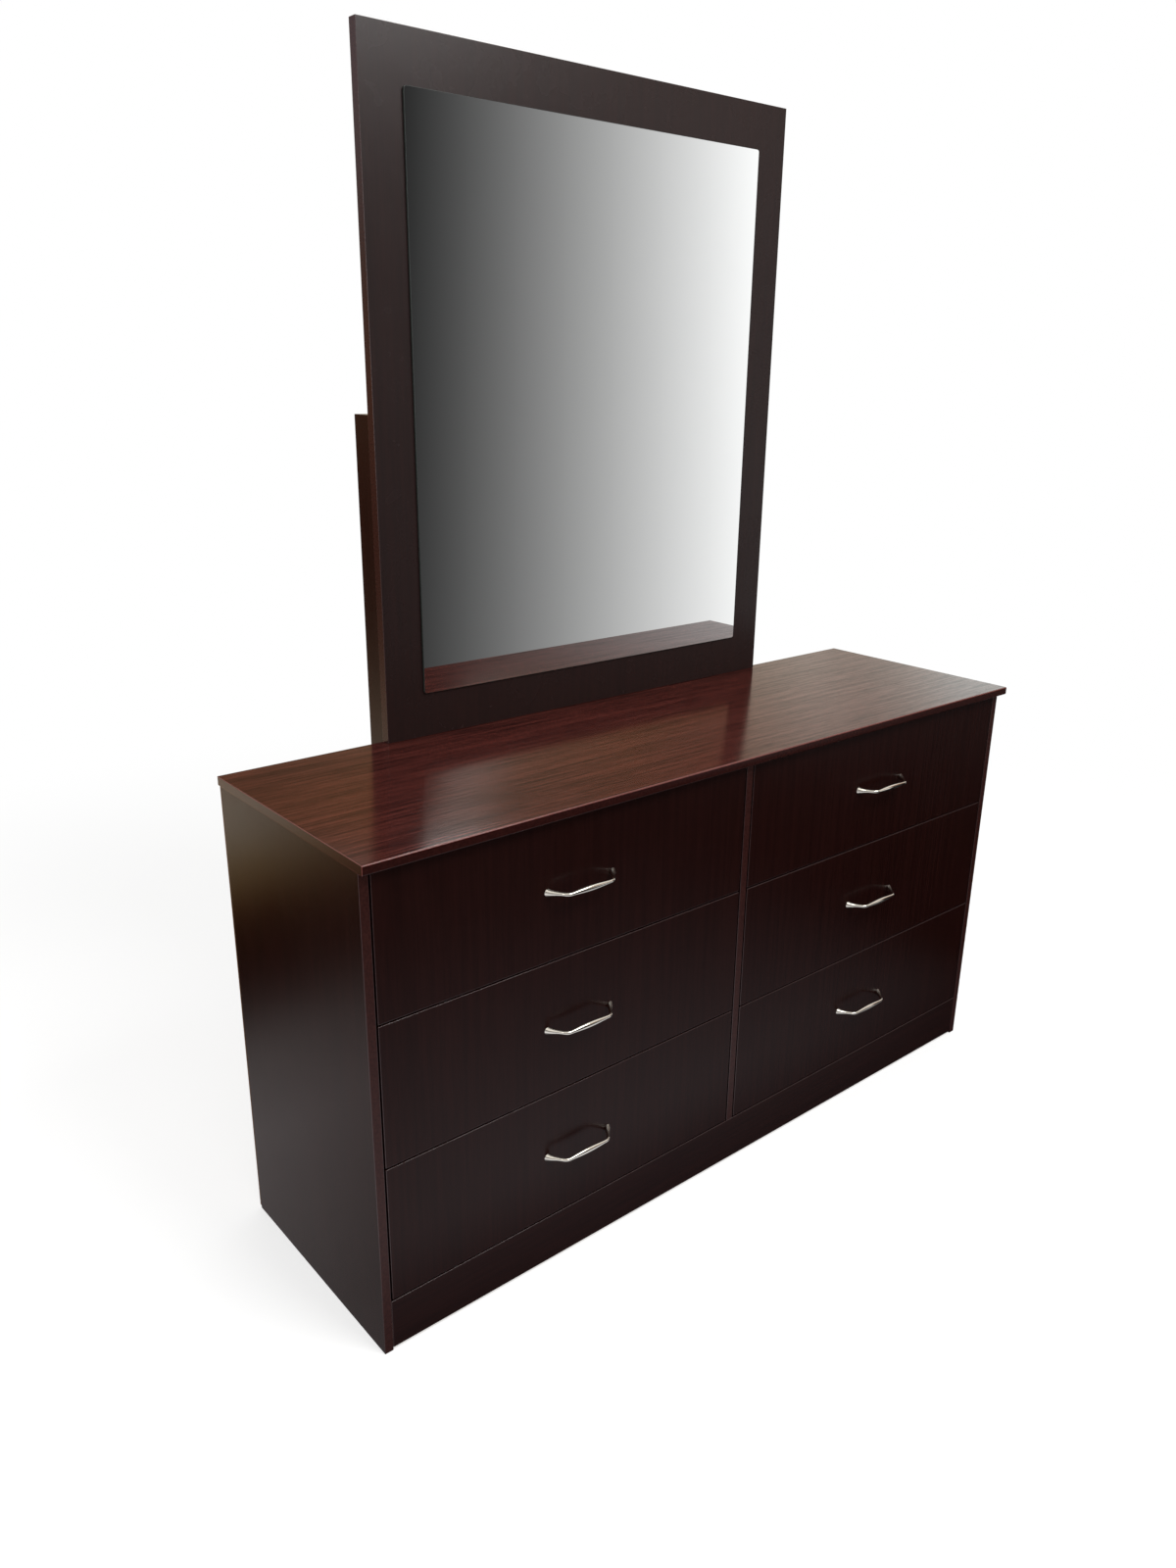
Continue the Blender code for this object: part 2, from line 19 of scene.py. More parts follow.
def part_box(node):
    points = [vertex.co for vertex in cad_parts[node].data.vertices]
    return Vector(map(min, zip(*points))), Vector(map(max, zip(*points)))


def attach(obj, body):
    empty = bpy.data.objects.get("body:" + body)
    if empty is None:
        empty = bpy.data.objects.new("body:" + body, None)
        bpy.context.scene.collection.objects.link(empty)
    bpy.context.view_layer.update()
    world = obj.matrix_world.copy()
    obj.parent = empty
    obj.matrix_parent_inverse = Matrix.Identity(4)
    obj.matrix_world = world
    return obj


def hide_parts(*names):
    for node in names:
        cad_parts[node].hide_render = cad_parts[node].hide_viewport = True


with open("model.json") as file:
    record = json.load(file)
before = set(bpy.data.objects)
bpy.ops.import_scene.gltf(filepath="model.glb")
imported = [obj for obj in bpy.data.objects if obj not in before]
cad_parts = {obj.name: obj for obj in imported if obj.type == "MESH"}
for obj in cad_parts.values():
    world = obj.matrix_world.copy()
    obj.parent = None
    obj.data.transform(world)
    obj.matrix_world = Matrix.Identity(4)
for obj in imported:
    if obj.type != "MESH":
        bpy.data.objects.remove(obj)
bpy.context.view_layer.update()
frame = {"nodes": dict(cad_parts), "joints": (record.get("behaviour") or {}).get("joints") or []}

CARCASS = "carcass"
LEVELS = ("bottom", "middle", "top")
COLUMNS = ("left", "right")
HANDS = tuple(zip(COLUMNS, (-1, 1)))
DRAWERS = [f"{level}_{column}" for level in LEVELS for column in COLUMNS]

# %% [markdown]
# ## The camera
#
# The picture was taken from in front of the left end, looking down a little. Three turns place the
# camera: it looks along +Y, turns right by the heading, tips down by the dip, and rolls a little. A lens
# of about 27 mm on a 36 mm sensor, along the long side of the picture, gives its field of view.

# %% Camera
EYE = Vector((-1.4186, -1.4863, 1.4180))
HEADING = math.radians(40.04)
DIP = math.radians(19.36)
ROLL = math.radians(0.74)
LENS = 26.94
SENSOR = 36.0


def make_camera():
    data = bpy.data.cameras.new("camera")
    data.lens = LENS
    data.sensor_width = SENSOR
    camera = bpy.data.objects.new("camera", data)
    bpy.context.scene.collection.objects.link(camera)
    turn = Matrix.Rotation(-HEADING, 4, "Z")
    tip = Matrix.Rotation(math.pi / 2 - DIP, 4, "X")
    roll = Matrix.Rotation(ROLL, 4, "Z")
    camera.matrix_world = Matrix.Translation(EYE) @ turn @ tip @ roll
    bpy.context.scene.camera = camera


make_camera()
print("camera at", tuple(EYE), "lens", LENS)

# %% [markdown]
# ## Helpers for node trees
#
# Materials, shader groups and Geometry Nodes are all trees of nodes. `add` makes one node and feeds each
# input with a value, or with the output of another node. Its own outputs come back as wires, and a sum
# such as `a * b + c` adds the Math nodes that reckon it. So a formula still reads as one, where the same
# nodes made one by one would fill a page.

# %% Nodes and wires
class Wire:
    """One output of a node. Arithmetic with wires and numbers adds Math nodes."""

    def __init__(self, tree, socket):
        self.tree = tree
        self.socket = socket

    def __add__(self, other):
        return maths("ADD", self, other)

    def __sub__(self, other):
        return maths("SUBTRACT", self, other)

    def __rsub__(self, other):
        return maths("SUBTRACT", other, self)

    def __mul__(self, other):
        return maths("MULTIPLY", self, other)

    def __truediv__(self, other):
        return maths("DIVIDE", self, other)

    def __pow__(self, other):
        return maths("POWER", self, other)


class Outputs:
    """The outputs of a node, as wires that are found by name or number."""

    def __init__(self, tree, node):
        self.tree = tree
        self.node = node

    def __getitem__(self, key):
        return Wire(self.tree, self.node.outputs[key])


def feed(node, inputs):
    """Links each wire to its input and sets the other values. Every colour is opaque."""
    for key, value in inputs.items():
        socket = node.inputs[key]
        if isinstance(value, Wire):
            value.tree.links.new(value.socket, socket)
        elif socket.type == "RGBA":
            socket.default_value = (*value, 1.0)
        else:
            socket.default_value = value


def add(tree, kind, inputs=None, **settings):
    node = tree.nodes.new(kind)
    for key, value in settings.items():
        setattr(node, key, value)
    feed(node, inputs or {})
    return Outputs(tree, node)


print("a node is made by", add.__name__, "and its inputs are set by", feed.__name__)

# %% [markdown]
# The nodes that are needed most get a short way to make them. `remap` moves a range of values to another
# one, and `ease` does it with a soft start and end. `noise` takes how many cells there are in a metre.
# `new_group` starts a tree with named inputs and outputs, so that one effect can serve many finishes.

# %% Nodes that are needed most
SOCKETS = {
    "number": "NodeSocketFloat",
    "count": "NodeSocketInt",
    "colour": "NodeSocketColor",
    "vector": "NodeSocketVector",
    "shape": "NodeSocketGeometry",
    "finish": "NodeSocketMaterial",
}


def tree_of(values):
    return next(value.tree for value in values if isinstance(value, Wire))


def maths(operation, *values):
    return add(tree_of(values), "ShaderNodeMath", dict(enumerate(values)), operation=operation)[0]


def vectors(operation, *values):
    return add(tree_of(values), "ShaderNodeVectorMath", dict(enumerate(values)), operation=operation)


def split(vector):
    return add(vector.tree, "ShaderNodeSeparateXYZ", {0: vector})


def combined(x=0.0, y=0.0, z=0.0):
    return add(tree_of((x, y, z)), "ShaderNodeCombineXYZ", {0: x, 1: y, 2: z})[0]


def remap(value, from_low, from_high, to_low=0.0, to_high=1.0, form="LINEAR"):
    limits = {"From Min": from_low, "From Max": from_high, "To Min": to_low, "To Max": to_high}
    return add(value.tree, "ShaderNodeMapRange", {"Value": value, **limits}, interpolation_type=form)[0]


def ease(value, *limits):
    return remap(value, *limits, form="SMOOTHSTEP")


def noise(place, scale, detail, **more):
    inputs = {"Vector": place, "Scale": scale, "Detail": detail}
    inputs.update({label.title(): value for label, value in more.items()})
    return add(place.tree, "ShaderNodeTexNoise", inputs)["Fac"]


def mix(share, first, second):
    """Mixes two colours. The Mix node's colour sockets are its inputs 6 and 7 and its output 2."""
    return add(share.tree, "ShaderNodeMix", {0: share, 6: first, 7: second}, data_type="RGBA")[2]


def ramp(value, stops):
    """Colours along a value: each stop is a place between 0 and 1, and a colour."""
    ramped = add(value.tree, "ShaderNodeValToRGB", {0: value})
    band = ramped.node.color_ramp.elements
    while len(band) < len(stops):
        band.new(1.0)
    for element, (place, colour) in zip(band, stops):
        element.position = place
        element.color = (*colour, 1.0)
    return ramped[0]


def new_group(name, kind, inputs, outputs):
    tree = bpy.data.node_groups.new(name, kind)
    for direction, sockets in (("INPUT", inputs), ("OUTPUT", outputs)):
        for label, form in sockets.items():
            tree.interface.new_socket(label, in_out=direction, socket_type=SOCKETS[form])
    return tree, add(tree, "NodeGroupInput")


print("kinds of socket", sorted(SOCKETS))

# %% [markdown]
# ## Printed grain
#
# The boards are covered with a printed foil. Its figure is long streaks along the grain, finer streaks
# between them and short dark pores. An image could hold it, but noise that is stretched along one axis
# needs no file, has no seams and stays sharp close up. The group takes coordinates whose X runs along
# the grain, and how many cells of noise there are in a metre along it and across it. It puts out the
# colour and a height for the fine relief that is pressed into the foil.

# %% Grain group
def make_grain_group():
    tree, given = new_group(
        "printed_grain", "ShaderNodeTree",
        {"Vector": "vector", "Along": "number", "Across": "number", "Light": "colour", "Dark": "colour",
         "Pore Colour": "colour", "Pores": "number"},
        {"Color": "colour", "Height": "number"},
    )
    stretch = combined(given["Along"], given["Across"], given["Across"])
    place = vectors("MULTIPLY", given["Vector"], stretch)[0]
    broad = noise(place, scale=1.0, detail=7.0, roughness=0.62, distortion=0.12)
    fine = noise(place, scale=4.3, detail=4.0, roughness=0.55)
    pore = noise(place, scale=9.0, detail=2.0)
    streak = ease(broad * 0.62 + fine * 0.38, 0.36, 0.64)
    holes = remap(pore, 0.60, 0.72) * given["Pores"]
    printed = mix(streak, given["Dark"], given["Light"])
    colour = mix(holes, printed, given["Pore Colour"])
    add(tree, "NodeGroupOutput", {"Color": colour, "Height": streak * 0.5 - holes})
    return tree


GRAIN = make_grain_group()
print("group", GRAIN.name, [socket.name for socket in GRAIN.interface.items_tree])

# %% [markdown]
# ## Handling
#
# No surface in a house is evenly smooth. Wiping and touching leave broad, soft patches where the gloss
# is a little higher or lower, and they show where the surface reflects something. The group makes such
# patches from two sizes of noise and turns them into a roughness between two values.

# %% Handling group
def make_handling_group():
    tree, given = new_group(
        "handling", "ShaderNodeTree",
        {"Vector": "vector", "Cells": "number", "Smooth": "number", "Rough": "number"},
        {"Roughness": "number", "Patches": "number"},
    )
    patch = noise(given["Vector"], scale=given["Cells"], detail=3.0)
    smear = noise(given["Vector"], scale=given["Cells"] * 7.0, detail=5.0, distortion=1.2)
    share = remap(patch * 0.65 + smear * 0.35, 0.38, 0.62)
    roughness = given["Smooth"] + share * (given["Rough"] - given["Smooth"])
    add(tree, "NodeGroupOutput", {"Roughness": roughness, "Patches": share})
    return tree


HANDLING = make_handling_group()
print("group", HANDLING.name, [socket.name for socket in HANDLING.interface.items_tree])

# %% [markdown]
# ## Starting a finish
#
# Every finish here is one Principled shader. Its even values are set on its own sockets, and only what
# changes over the surface comes in by a link. The pattern reads Object coordinates, which are the same
# as the room's at rest, because every piece sits at the origin with its place in its mesh. `turned`
# reorders the axes so that X always runs along the grain.

# %% Finish helpers
GRAIN_AXES = {"x": "XYZ", "y": "YZX", "z": "ZXY"}


def new_finish(name, **even):
    """A material, its Principled shader with even values that are set by name, and the coordinates."""
    material = bpy.data.materials.new(name)
    material.use_nodes = True
    shader = material.node_tree.nodes["Principled BSDF"]
    feed(shader, {label.replace("_", " "): value for label, value in even.items()})
    return material, shader, add(material.node_tree, "ShaderNodeTexCoord")["Object"]


def turned(place, axis):
    parts = split(place)
    return combined(*[parts[letter] for letter in GRAIN_AXES[axis]])


def use(group, inputs):
    return add(inputs["Vector"].tree, "ShaderNodeGroup", inputs, node_tree=group)


def relief(shader, height, depth):
    bump = add(height.tree, "ShaderNodeBump", {"Height": height, "Distance": depth, "Strength": 1.0})
    feed(shader, {"Normal": bump["Normal"]})


print("axes that bring the grain to X", GRAIN_AXES)

# %% [markdown]
# ## Foil on the boards
#
# One function prints every foil: near-black with upright grain on the fronts, the sides and the mirror
# board, near-black with level grain on the plinth and the rails, and brown on the drawer boxes. The
# dark ones have a faint haze besides their own gloss, which is a rough coat: light spreads wide in it.
# On the mirror board it is strong and very soft, so that board looks greyer than the fronts.
#
# The foil of the top is another product: its gloss lies on it as a lacquer, and the pores are pressed so
# deep that the lacquer is thin in them. So there the grain also drives the weight of the coat, and the
# streaks show inside the reflections too.

# %% Foils
HAZE_ROUGHNESS = 0.50
HAZE_IOR = 1.3
LACQUER_ROUGHNESS = 0.145
LACQUER_IOR = 1.40
HANDLED_CELLS = 3.0


def printed_board(name, axis, tones, cells, gloss, pores, pore_tone, pressed, **even):
    """Board with printed grain: its light and dark tone, its cells along and across, and how smooth and how
    rough it gets."""
    material, shader, place = new_finish(name, **even)
    light, dark = tones
    grain = use(GRAIN, {
        "Vector": turned(place, axis), "Along": cells[0], "Across": cells[1], "Light": light, "Dark": dark,
        "Pore Colour": [pore_tone * part for part in dark], "Pores": pores})
    marks = use(HANDLING, {"Vector": place, "Cells": HANDLED_CELLS, "Smooth": gloss[0], "Rough": gloss[1]})
    feed(shader, {"Base Color": grain["Color"], "Roughness": marks["Roughness"]})
    relief(shader, grain["Height"], pressed)
    return material, shader, grain["Height"]


def foil(name, axis, tones, cells, gloss, specular, haze=0.0, soft=HAZE_ROUGHNESS):
    material, _, _ = printed_board(
        name, axis, tones, cells, gloss, pores=0.5, pore_tone=0.4, pressed=0.00003,
        Specular_IOR_Level=specular, Coat_Weight=haze, Coat_Roughness=soft, Coat_IOR=HAZE_IOR)
    return material


def lacquered_foil(name, axis, tones, cells, gloss):
    material, shader, height = printed_board(
        name, axis, tones, cells, gloss, pores=0.9, pore_tone=0.3, pressed=0.00004,
        Specular_IOR_Level=0.0, Coat_Roughness=LACQUER_ROUGHNESS, Coat_IOR=LACQUER_IOR)
    feed(shader, {"Coat Weight": remap(height, -0.7, 0.5, 0.35, 1.0)})
    return material


DARK_LOOK = {"tones": ((0.0150, 0.0034, 0.0026), (0.0100, 0.0022, 0.0017)), "cells": (3.0, 110.0),
             "gloss": (0.20, 0.26), "specular": 0.085, "haze": 0.10}
MIRROR_LOOK = {**DARK_LOOK, "gloss": (0.24, 0.30), "specular": 0.25, "haze": 1.0, "soft": 0.62}
TOP_LOOK = {"tones": ((0.100, 0.0205, 0.0150), (0.016, 0.0028, 0.0024)), "cells": (5.0, 210.0),
            "gloss": (0.34, 0.46)}
BOX_LOOK = {"tones": ((0.070, 0.036, 0.026), (0.040, 0.018, 0.013)), "cells": (3.0, 60.0),
            "gloss": (0.38, 0.46), "specular": 0.40}

upright_foil = foil("dark foil, upright grain", "z", **DARK_LOOK)
level_foil = foil("dark foil, level grain", "x", **DARK_LOOK)
mirror_foil = foil("dark foil of the mirror board", "z", **MIRROR_LOOK)
top_foil = lacquered_foil("red-brown foil of the top", "x", **TOP_LOOK)
box_foil = foil("brown foil of the drawer boxes", "y", **BOX_LOOK)
box_back_foil = foil("brown foil of the drawer backs", "x", **BOX_LOOK)
print("foils", [m.name for m in (upright_foil, level_foil, mirror_foil, top_foil, box_foil, box_back_foil)])

# %% [markdown]
# ## Edge bands
#
# The narrow sides of the boards are closed with a plastic band. Its printed face is like the foil but
# redder, except on the drawer fronts, the plinth and the rails: there it is as dark as the foil, as painted
# shade, so that the gaps between them look almost black. Where a band is trimmed flush, the cut shows the
# plain red-brown plastic, as a thin line along the edges, and that corner is also painted lighter as a
# highlight: a little on the dark boards and much more on the top. So each board gets two materials, one for
# the band and one for its corners.

# %% Bands
def band(name, light, dark, roughness, specular):
    material, shader, place = new_finish(name, Roughness=roughness, Specular_IOR_Level=specular)
    speck = noise(place, scale=260.0, detail=3.0)
    feed(shader, {"Base Color": mix(remap(speck, 0.35, 0.65), dark, light)})
    relief(shader, speck, depth=0.00002)
    return material


dark_band = band("band of the dark boards", (0.036, 0.0105, 0.0085), (0.024, 0.0065, 0.0055), 0.26, 0.14)
# Painted shade: on the fronts, the plinth and the rails the band is as dark as the foil, so the gaps between
# them look shadowed.
gap_shaded_band = band("band of the fronts, dark as painted gap shade", (0.014, 0.0034, 0.0027), (0.009, 0.0021, 0.0017), 0.30, 0.05)
# Partly painted highlight: the trimmed corner is a little lighter and greyer than the band, for the light
# line along each gap.
dark_corner_with_highlight = band("trimmed corner of a dark band", (0.040, 0.0160, 0.0155), (0.030, 0.0115, 0.0110),
                   0.22, 0.65)
top_band = band("band of the top", (0.026, 0.0056, 0.0044), (0.017, 0.0035, 0.0029), 0.24, 0.15)
# Mostly painted highlight: this corner is several times lighter than the top's band, for the bright line
# along the front edge.
top_corner_with_highlight = band("trimmed corner of the top's band", (0.150, 0.034, 0.026), (0.110, 0.024, 0.019),
                  0.18, 0.60)
print("bands", [m.name for m in (dark_band, gap_shaded_band, dark_corner_with_highlight, top_band, top_corner_with_highlight)])

# %% [markdown]
# ## Bare board and hardboard
#
# Edges that nobody sees stay bare: under the side panels, at the back of the top and at the ends of the
# drawer boxes. There the chips of the board show, pale and dark flakes pressed together, which is what a
# Voronoi texture draws. The back panel and the drawer bottoms are hardboard, brown fibres with no grain.

# %% Bare board and hardboard
SCREEN_WAVES = 2600.0


def bare_board():
    material, shader, place = new_finish("bare chipboard", Roughness=0.88, Specular_IOR_Level=0.25)
    flakes = add(place.tree, "ShaderNodeTexVoronoi", {"Vector": place, "Scale": 420.0, "Randomness": 1.0})
    chips = mix(split(flakes["Color"])[0], (0.22, 0.135, 0.070), (0.52, 0.37, 0.22))
    dust = remap(noise(place, scale=60.0, detail=5.0), 0.3, 0.7, 0.0, 0.5)
    feed(shader, {"Base Color": mix(dust, chips, (0.30, 0.19, 0.105))})
    relief(shader, flakes["Distance"], depth=0.0002)
    return material


def hardboard(name, rough_side):
    """Brown fibre board. Its rough side carries the print of the screen that it was pressed on."""
    material, shader, place = new_finish(name, Roughness=0.62, Specular_IOR_Level=0.30)
    fibre = noise(place, scale=190.0, detail=6.0, roughness=0.65)
    cloud = noise(place, scale=9.0, detail=4.0)
    colour = mix(remap(fibre, 0.32, 0.68), (0.105, 0.052, 0.026), (0.205, 0.112, 0.060))
    colour = mix(remap(cloud, 0.3, 0.7, 0.0, 0.35), colour, (0.085, 0.043, 0.023))
    feed(shader, {"Base Color": colour})
    if rough_side:
        parts = split(place)
        wires = [maths("SINE", parts[axis] * SCREEN_WAVES) for axis in ("X", "Z")]
        relief(shader, fibre + wires[0] * wires[1] * 0.35, depth=0.0002)
    else:
        relief(shader, fibre, depth=0.00005)
    return material


chipboard = bare_board()
back_hardboard = hardboard("hardboard, rough side", True)
bottom_hardboard = hardboard("hardboard, smooth side", False)
print("boards", chipboard.name, back_hardboard.name, bottom_hardboard.name)

# %% [markdown]
# ## Metal, coating and plastic
#
# The handles are zinc alloy with polished, slightly warm plating. The slides are folded steel under a
# cream coating, with plastic rollers on riveted axles. Screws and cam fittings are plain zinc. Polished
# metal shows mostly what is round it, so its own colour hardly varies, and the life comes from faint
# changes in its roughness.

# %% Metal, coating and plastic
def metal(name, colour, smooth, rough, cells):
    material, shader, place = new_finish(name, Metallic=1.0)
    marks = use(HANDLING, {"Vector": place, "Cells": cells, "Smooth": smooth, "Rough": rough})
    dull = [0.90 * part for part in colour]
    feed(shader, {"Base Color": mix(marks["Patches"], colour, dull), "Roughness": marks["Roughness"]})
    relief(shader, marks["Patches"], depth=0.000008)
    return material


def coating(name, colour, roughness, specks):
    """Baked coating or moulded plastic: an even colour with a faint peel like that of an orange."""
    material, shader, place = new_finish(name, Roughness=roughness, Specular_IOR_Level=0.5)
    soil = remap(noise(place, scale=35.0, detail=4.0), 0.45, 0.75, 0.0, 0.6)
    dirty = [0.80 * part for part in colour]
    feed(shader, {"Base Color": mix(soil, colour, dirty)})
    relief(shader, noise(place, scale=specks, detail=3.0), depth=0.00004)
    return material


plated = metal("polished plating", (0.80, 0.755, 0.675), smooth=0.07, rough=0.14, cells=30.0)
zinc = metal("zinc", (0.60, 0.60, 0.585), smooth=0.28, rough=0.42, cells=120.0)
slide_coat = coating("cream coating of the slides", (0.66, 0.64, 0.58), roughness=0.34, specks=900.0)
roller_plastic = coating("plastic of the rollers", (0.80, 0.79, 0.74), roughness=0.42, specks=500.0)
print("metals", [m.name for m in (plated, zinc, slide_coat, roller_plastic)])

# %% [markdown]
# ## Mirror
#
# A mirror is glass with silver behind it. From the front almost all the light comes back from the
# silver, so the face is a pale metal with hardly any roughness. The ground edge is different: there one
# looks into the glass from the side, and sees a dark grey-green, painted darker still here as the shade
# line round the glass.

# %% Mirror finishes
def silver():
    material, shader, place = new_finish("silvered glass", Metallic=1.0)
    marks = use(HANDLING, {"Vector": place, "Cells": 2.0, "Smooth": 0.0, "Rough": 0.012})
    tint = mix(marks["Patches"], (0.930, 0.938, 0.934), (0.918, 0.928, 0.924))
    feed(shader, {"Base Color": tint, "Roughness": marks["Roughness"]})
    return material


def ground_glass():
    material, shader, place = new_finish("ground edge of the glass, darkened as painted shade", Roughness=0.32)
    grit = noise(place, scale=1400.0, detail=2.0)
    # Partly painted shade: the ground edge is darkened almost to black, as the shade line round the glass.
    feed(shader, {"Base Color": mix(grit, (0.012, 0.016, 0.014), (0.036, 0.044, 0.040))})
    relief(shader, grit, depth=0.00003)
    return material


mirror_silver = silver()
glass_edge_with_shade_line = ground_glass()
print("mirror", mirror_silver.name, glass_edge_with_shade_line.name)

# %% [markdown]
# ## How a board is made
#
# A board is a block with three kinds of face: the two broad ones carry foil, the narrow ones carry a
# band, and some narrow ones stay bare. Its size comes from the solid that it replaces. The block could
# be a cube primitive that is scaled, but then its place would be in the object and not in the mesh.
# Where a groove or a notch runs right through a board, its outline is drawn out along one axis instead.

# %% Shapes of boards
def built(bm, name):
    mesh = bpy.data.meshes.new(name)
    bm.to_mesh(mesh)
    bm.free()
    return mesh


def block_mesh(name, low, high):
    low, high = Vector(low), Vector(high)
    bm = bmesh.new()
    bmesh.ops.create_cube(bm, size=1.0)
    for vert in bm.verts:
        for axis in range(3):
            vert.co[axis] = low[axis] if vert.co[axis] < 0 else high[axis]
    return built(bm, name)


def drawn_mesh(name, outline, along, start, end):
    """A closed outline, given in the two axes other than the one that it is drawn out along."""
    across = [axis for axis in range(3) if axis != along]
    bm = bmesh.new()
    ring = []
    for point in outline:
        vert = bm.verts.new()
        vert.co[along] = start
        vert.co[across[0]], vert.co[across[1]] = point
        ring.append(vert)
    grown = bmesh.ops.extrude_face_region(bm, geom=[bm.faces.new(ring)])
    for item in grown["geom"]:
        if isinstance(item, bmesh.types.BMVert):
            item.co[along] = end
    bmesh.ops.recalc_face_normals(bm, faces=bm.faces[:])
    return built(bm, name)


def arc(centre, radius, first, last, steps):
    turns = [math.radians(first + (last - first) * step / steps) for step in range(steps + 1)]
    return [(centre[0] + radius * math.cos(turn), centre[1] + radius * math.sin(turn)) for turn in turns]


print("points of a quarter arc in 8 steps", len(arc((0.0, 0.0), 1.0, 0, 90, 8)))

# %% [markdown]
# Each face of a board is told by the side it looks to, and gets its material from that. A Bevel modifier
# softens the edges, gives them the material of the trimmed band, which on the dark boards and the top is
# also a painted highlight, and hardens the normals so that the broad faces stay flat. `add_piece` hands a
# finished piece over: which body it rides on, and which solid it takes the place of.

# %% Boards
FOIL, BAND, CORNER, BARE = range(4)
OF_THE_FACES = -1
FLAT = 0.99
ARRIS = 0.0008
ARRIS_STEPS = 3
SHARP = math.radians(30)
DARK = (upright_foil, dark_band, dark_corner_with_highlight, chipboard)
DARK_FRONT = (upright_foil, gap_shaded_band, dark_corner_with_highlight, chipboard)
DARK_LEVEL = (level_foil, gap_shaded_band, dark_corner_with_highlight, chipboard)
DARK_MIRROR = (mirror_foil, dark_band, dark_corner_with_highlight, chipboard)


def facing(face):
    """The side that a face looks to, such as -y, or None where it looks between the axes."""
    axis = max(range(3), key=lambda i: abs(face.normal[i]))
    if abs(face.normal[axis]) < FLAT:
        return None
    return ("-" if face.normal[axis] < 0 else "+") + "xyz"[axis]


def clad(mesh, finishes, broad, bare=()):
    """Foil on the faces across the broad axis, chipboard on the bare ones and a band on the others."""
    for finish in finishes:
        mesh.materials.append(finish)
    for face in mesh.polygons:
        side = facing(face)
        face.material_index = FOIL if side and side[1] == broad else BARE if side in bare else BAND


def add_piece(mesh, name, body, replaced=()):
    piece = bpy.data.objects.new(name, mesh)
    bpy.context.scene.collection.objects.link(piece)
    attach(piece, body)
    if replaced:
        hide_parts(*replaced)
    return piece


def soften(piece, width=ARRIS, steps=ARRIS_STEPS, finish=CORNER):
    piece.data.shade_smooth()
    bevel = piece.modifiers.new("arris", "BEVEL")
    bevel.width = width
    bevel.segments = steps
    bevel.limit_method = "ANGLE"
    bevel.angle_limit = SHARP
    bevel.harden_normals = True
    bevel.material = finish


def make_board(node, name, body, finishes, broad, bare=()):
    mesh = block_mesh(name, *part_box(node))
    clad(mesh, finishes, broad, bare)
    soften(add_piece(mesh, name, body, [node]))


print("arris", ARRIS, "in", ARRIS_STEPS, "steps")

# %% [markdown]
# ## Carcass boards
#
# Two side panels carry the top, a centre divider splits the front in two, and a plinth and two rails
# hold the sides apart. The divider has a notch over the plinth, so its outline is drawn out.

# %% Sides, divider, plinth and rails
SEAT = 0.0003


def make_carcass():
    for side in COLUMNS:
        node = f"side_panel_{side}"
        make_board(node, f"{side}_side_board", CARCASS, DARK, "x", ("-z", "+z", "+y"))
    for node, name in (("plinth_front", "plinth_board"), ("back_rail_lower", "lower_back_rail"),
                       ("back_rail_upper", "upper_back_rail")):
        make_board(node, name, CARCASS, DARK_LEVEL, "y", ("-x", "+x", "-z"))


def make_divider():
    low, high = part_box("centre_divider")
    _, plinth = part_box("plinth_front")
    notch_y, notch_z = plinth.y + SEAT, plinth.z + SEAT
    outline = [(notch_y, low.z), (high.y, low.z), (high.y, high.z), (low.y, high.z), (low.y, notch_z),
               (notch_y, notch_z)]
    mesh = drawn_mesh("divider_board", outline, 0, low.x, high.x)
    clad(mesh, DARK, "x", ("-z", "+z", "+y"))
    soften(add_piece(mesh, "divider_board", CARCASS, ["centre_divider"]))


make_carcass()
make_divider()

# %% [markdown]
# ## The top
#
# The front edge of the top is rounded, more above than below, and it catches the light as a thin bright
# line, which is also painted in. Its section is an outline with two arcs, drawn out along the whole width.
# The upper arc carries the material of the corners, painted much lighter than the band as a highlight, and
# the rest of the front edge carries the band.

# %% Top
TOP_ROUND = 0.0022
TOP_UNDER_ROUND = 0.002
ROUND_STEPS = 10


def make_top():
    low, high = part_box("top_panel")
    r, u = TOP_ROUND, TOP_UNDER_ROUND
    outline = [(high.y, low.z), (high.y, high.z)]
    outline += arc((low.y + r, high.z - r), r, 90, 180, ROUND_STEPS)
    outline += arc((low.y + u, low.z + u), u, 180, 270, ROUND_STEPS)
    mesh = drawn_mesh("top_board", outline, 0, low.x, high.x)
    clad(mesh, (top_foil, top_band, top_corner_with_highlight, chipboard), "z", ("+y",))
    for face in mesh.polygons:
        # Painted highlight: the upper half of the rounded front edge gets the light corner material, and the
        # lower half gets the dark band.
        if facing(face) is None:
            face.material_index = CORNER if face.normal.z > 0 else BAND
    soften(add_piece(mesh, "top_board", CARCASS, ["top_panel"]))


make_top()

# %% [markdown]
# ## Mirror board, glass and posts
#
# The mirror board is one flat panel with all four edges banded. The glass lies on its face: the front
# is silvered, and the narrow edge is ground, with small rounded corners. Two posts behind the board run
# down behind the dresser. Each is screwed on from behind, with the heads sunk in round holes, so the
# holes are cut from the post before its edges are softened.

# %% Mirror and posts
GLASS_CORNER = 0.005
GLASS_CORNER_STEPS = 8
GLASS_ARRIS = 0.0006
SILVERED, GROUND = range(2)
SUNK_HOLE = 0.011
SUNK_DEPTH = 0.006
HOLE_SIDES = 24
BOARD_SCREWS = (0.084, 0.304, 0.484)


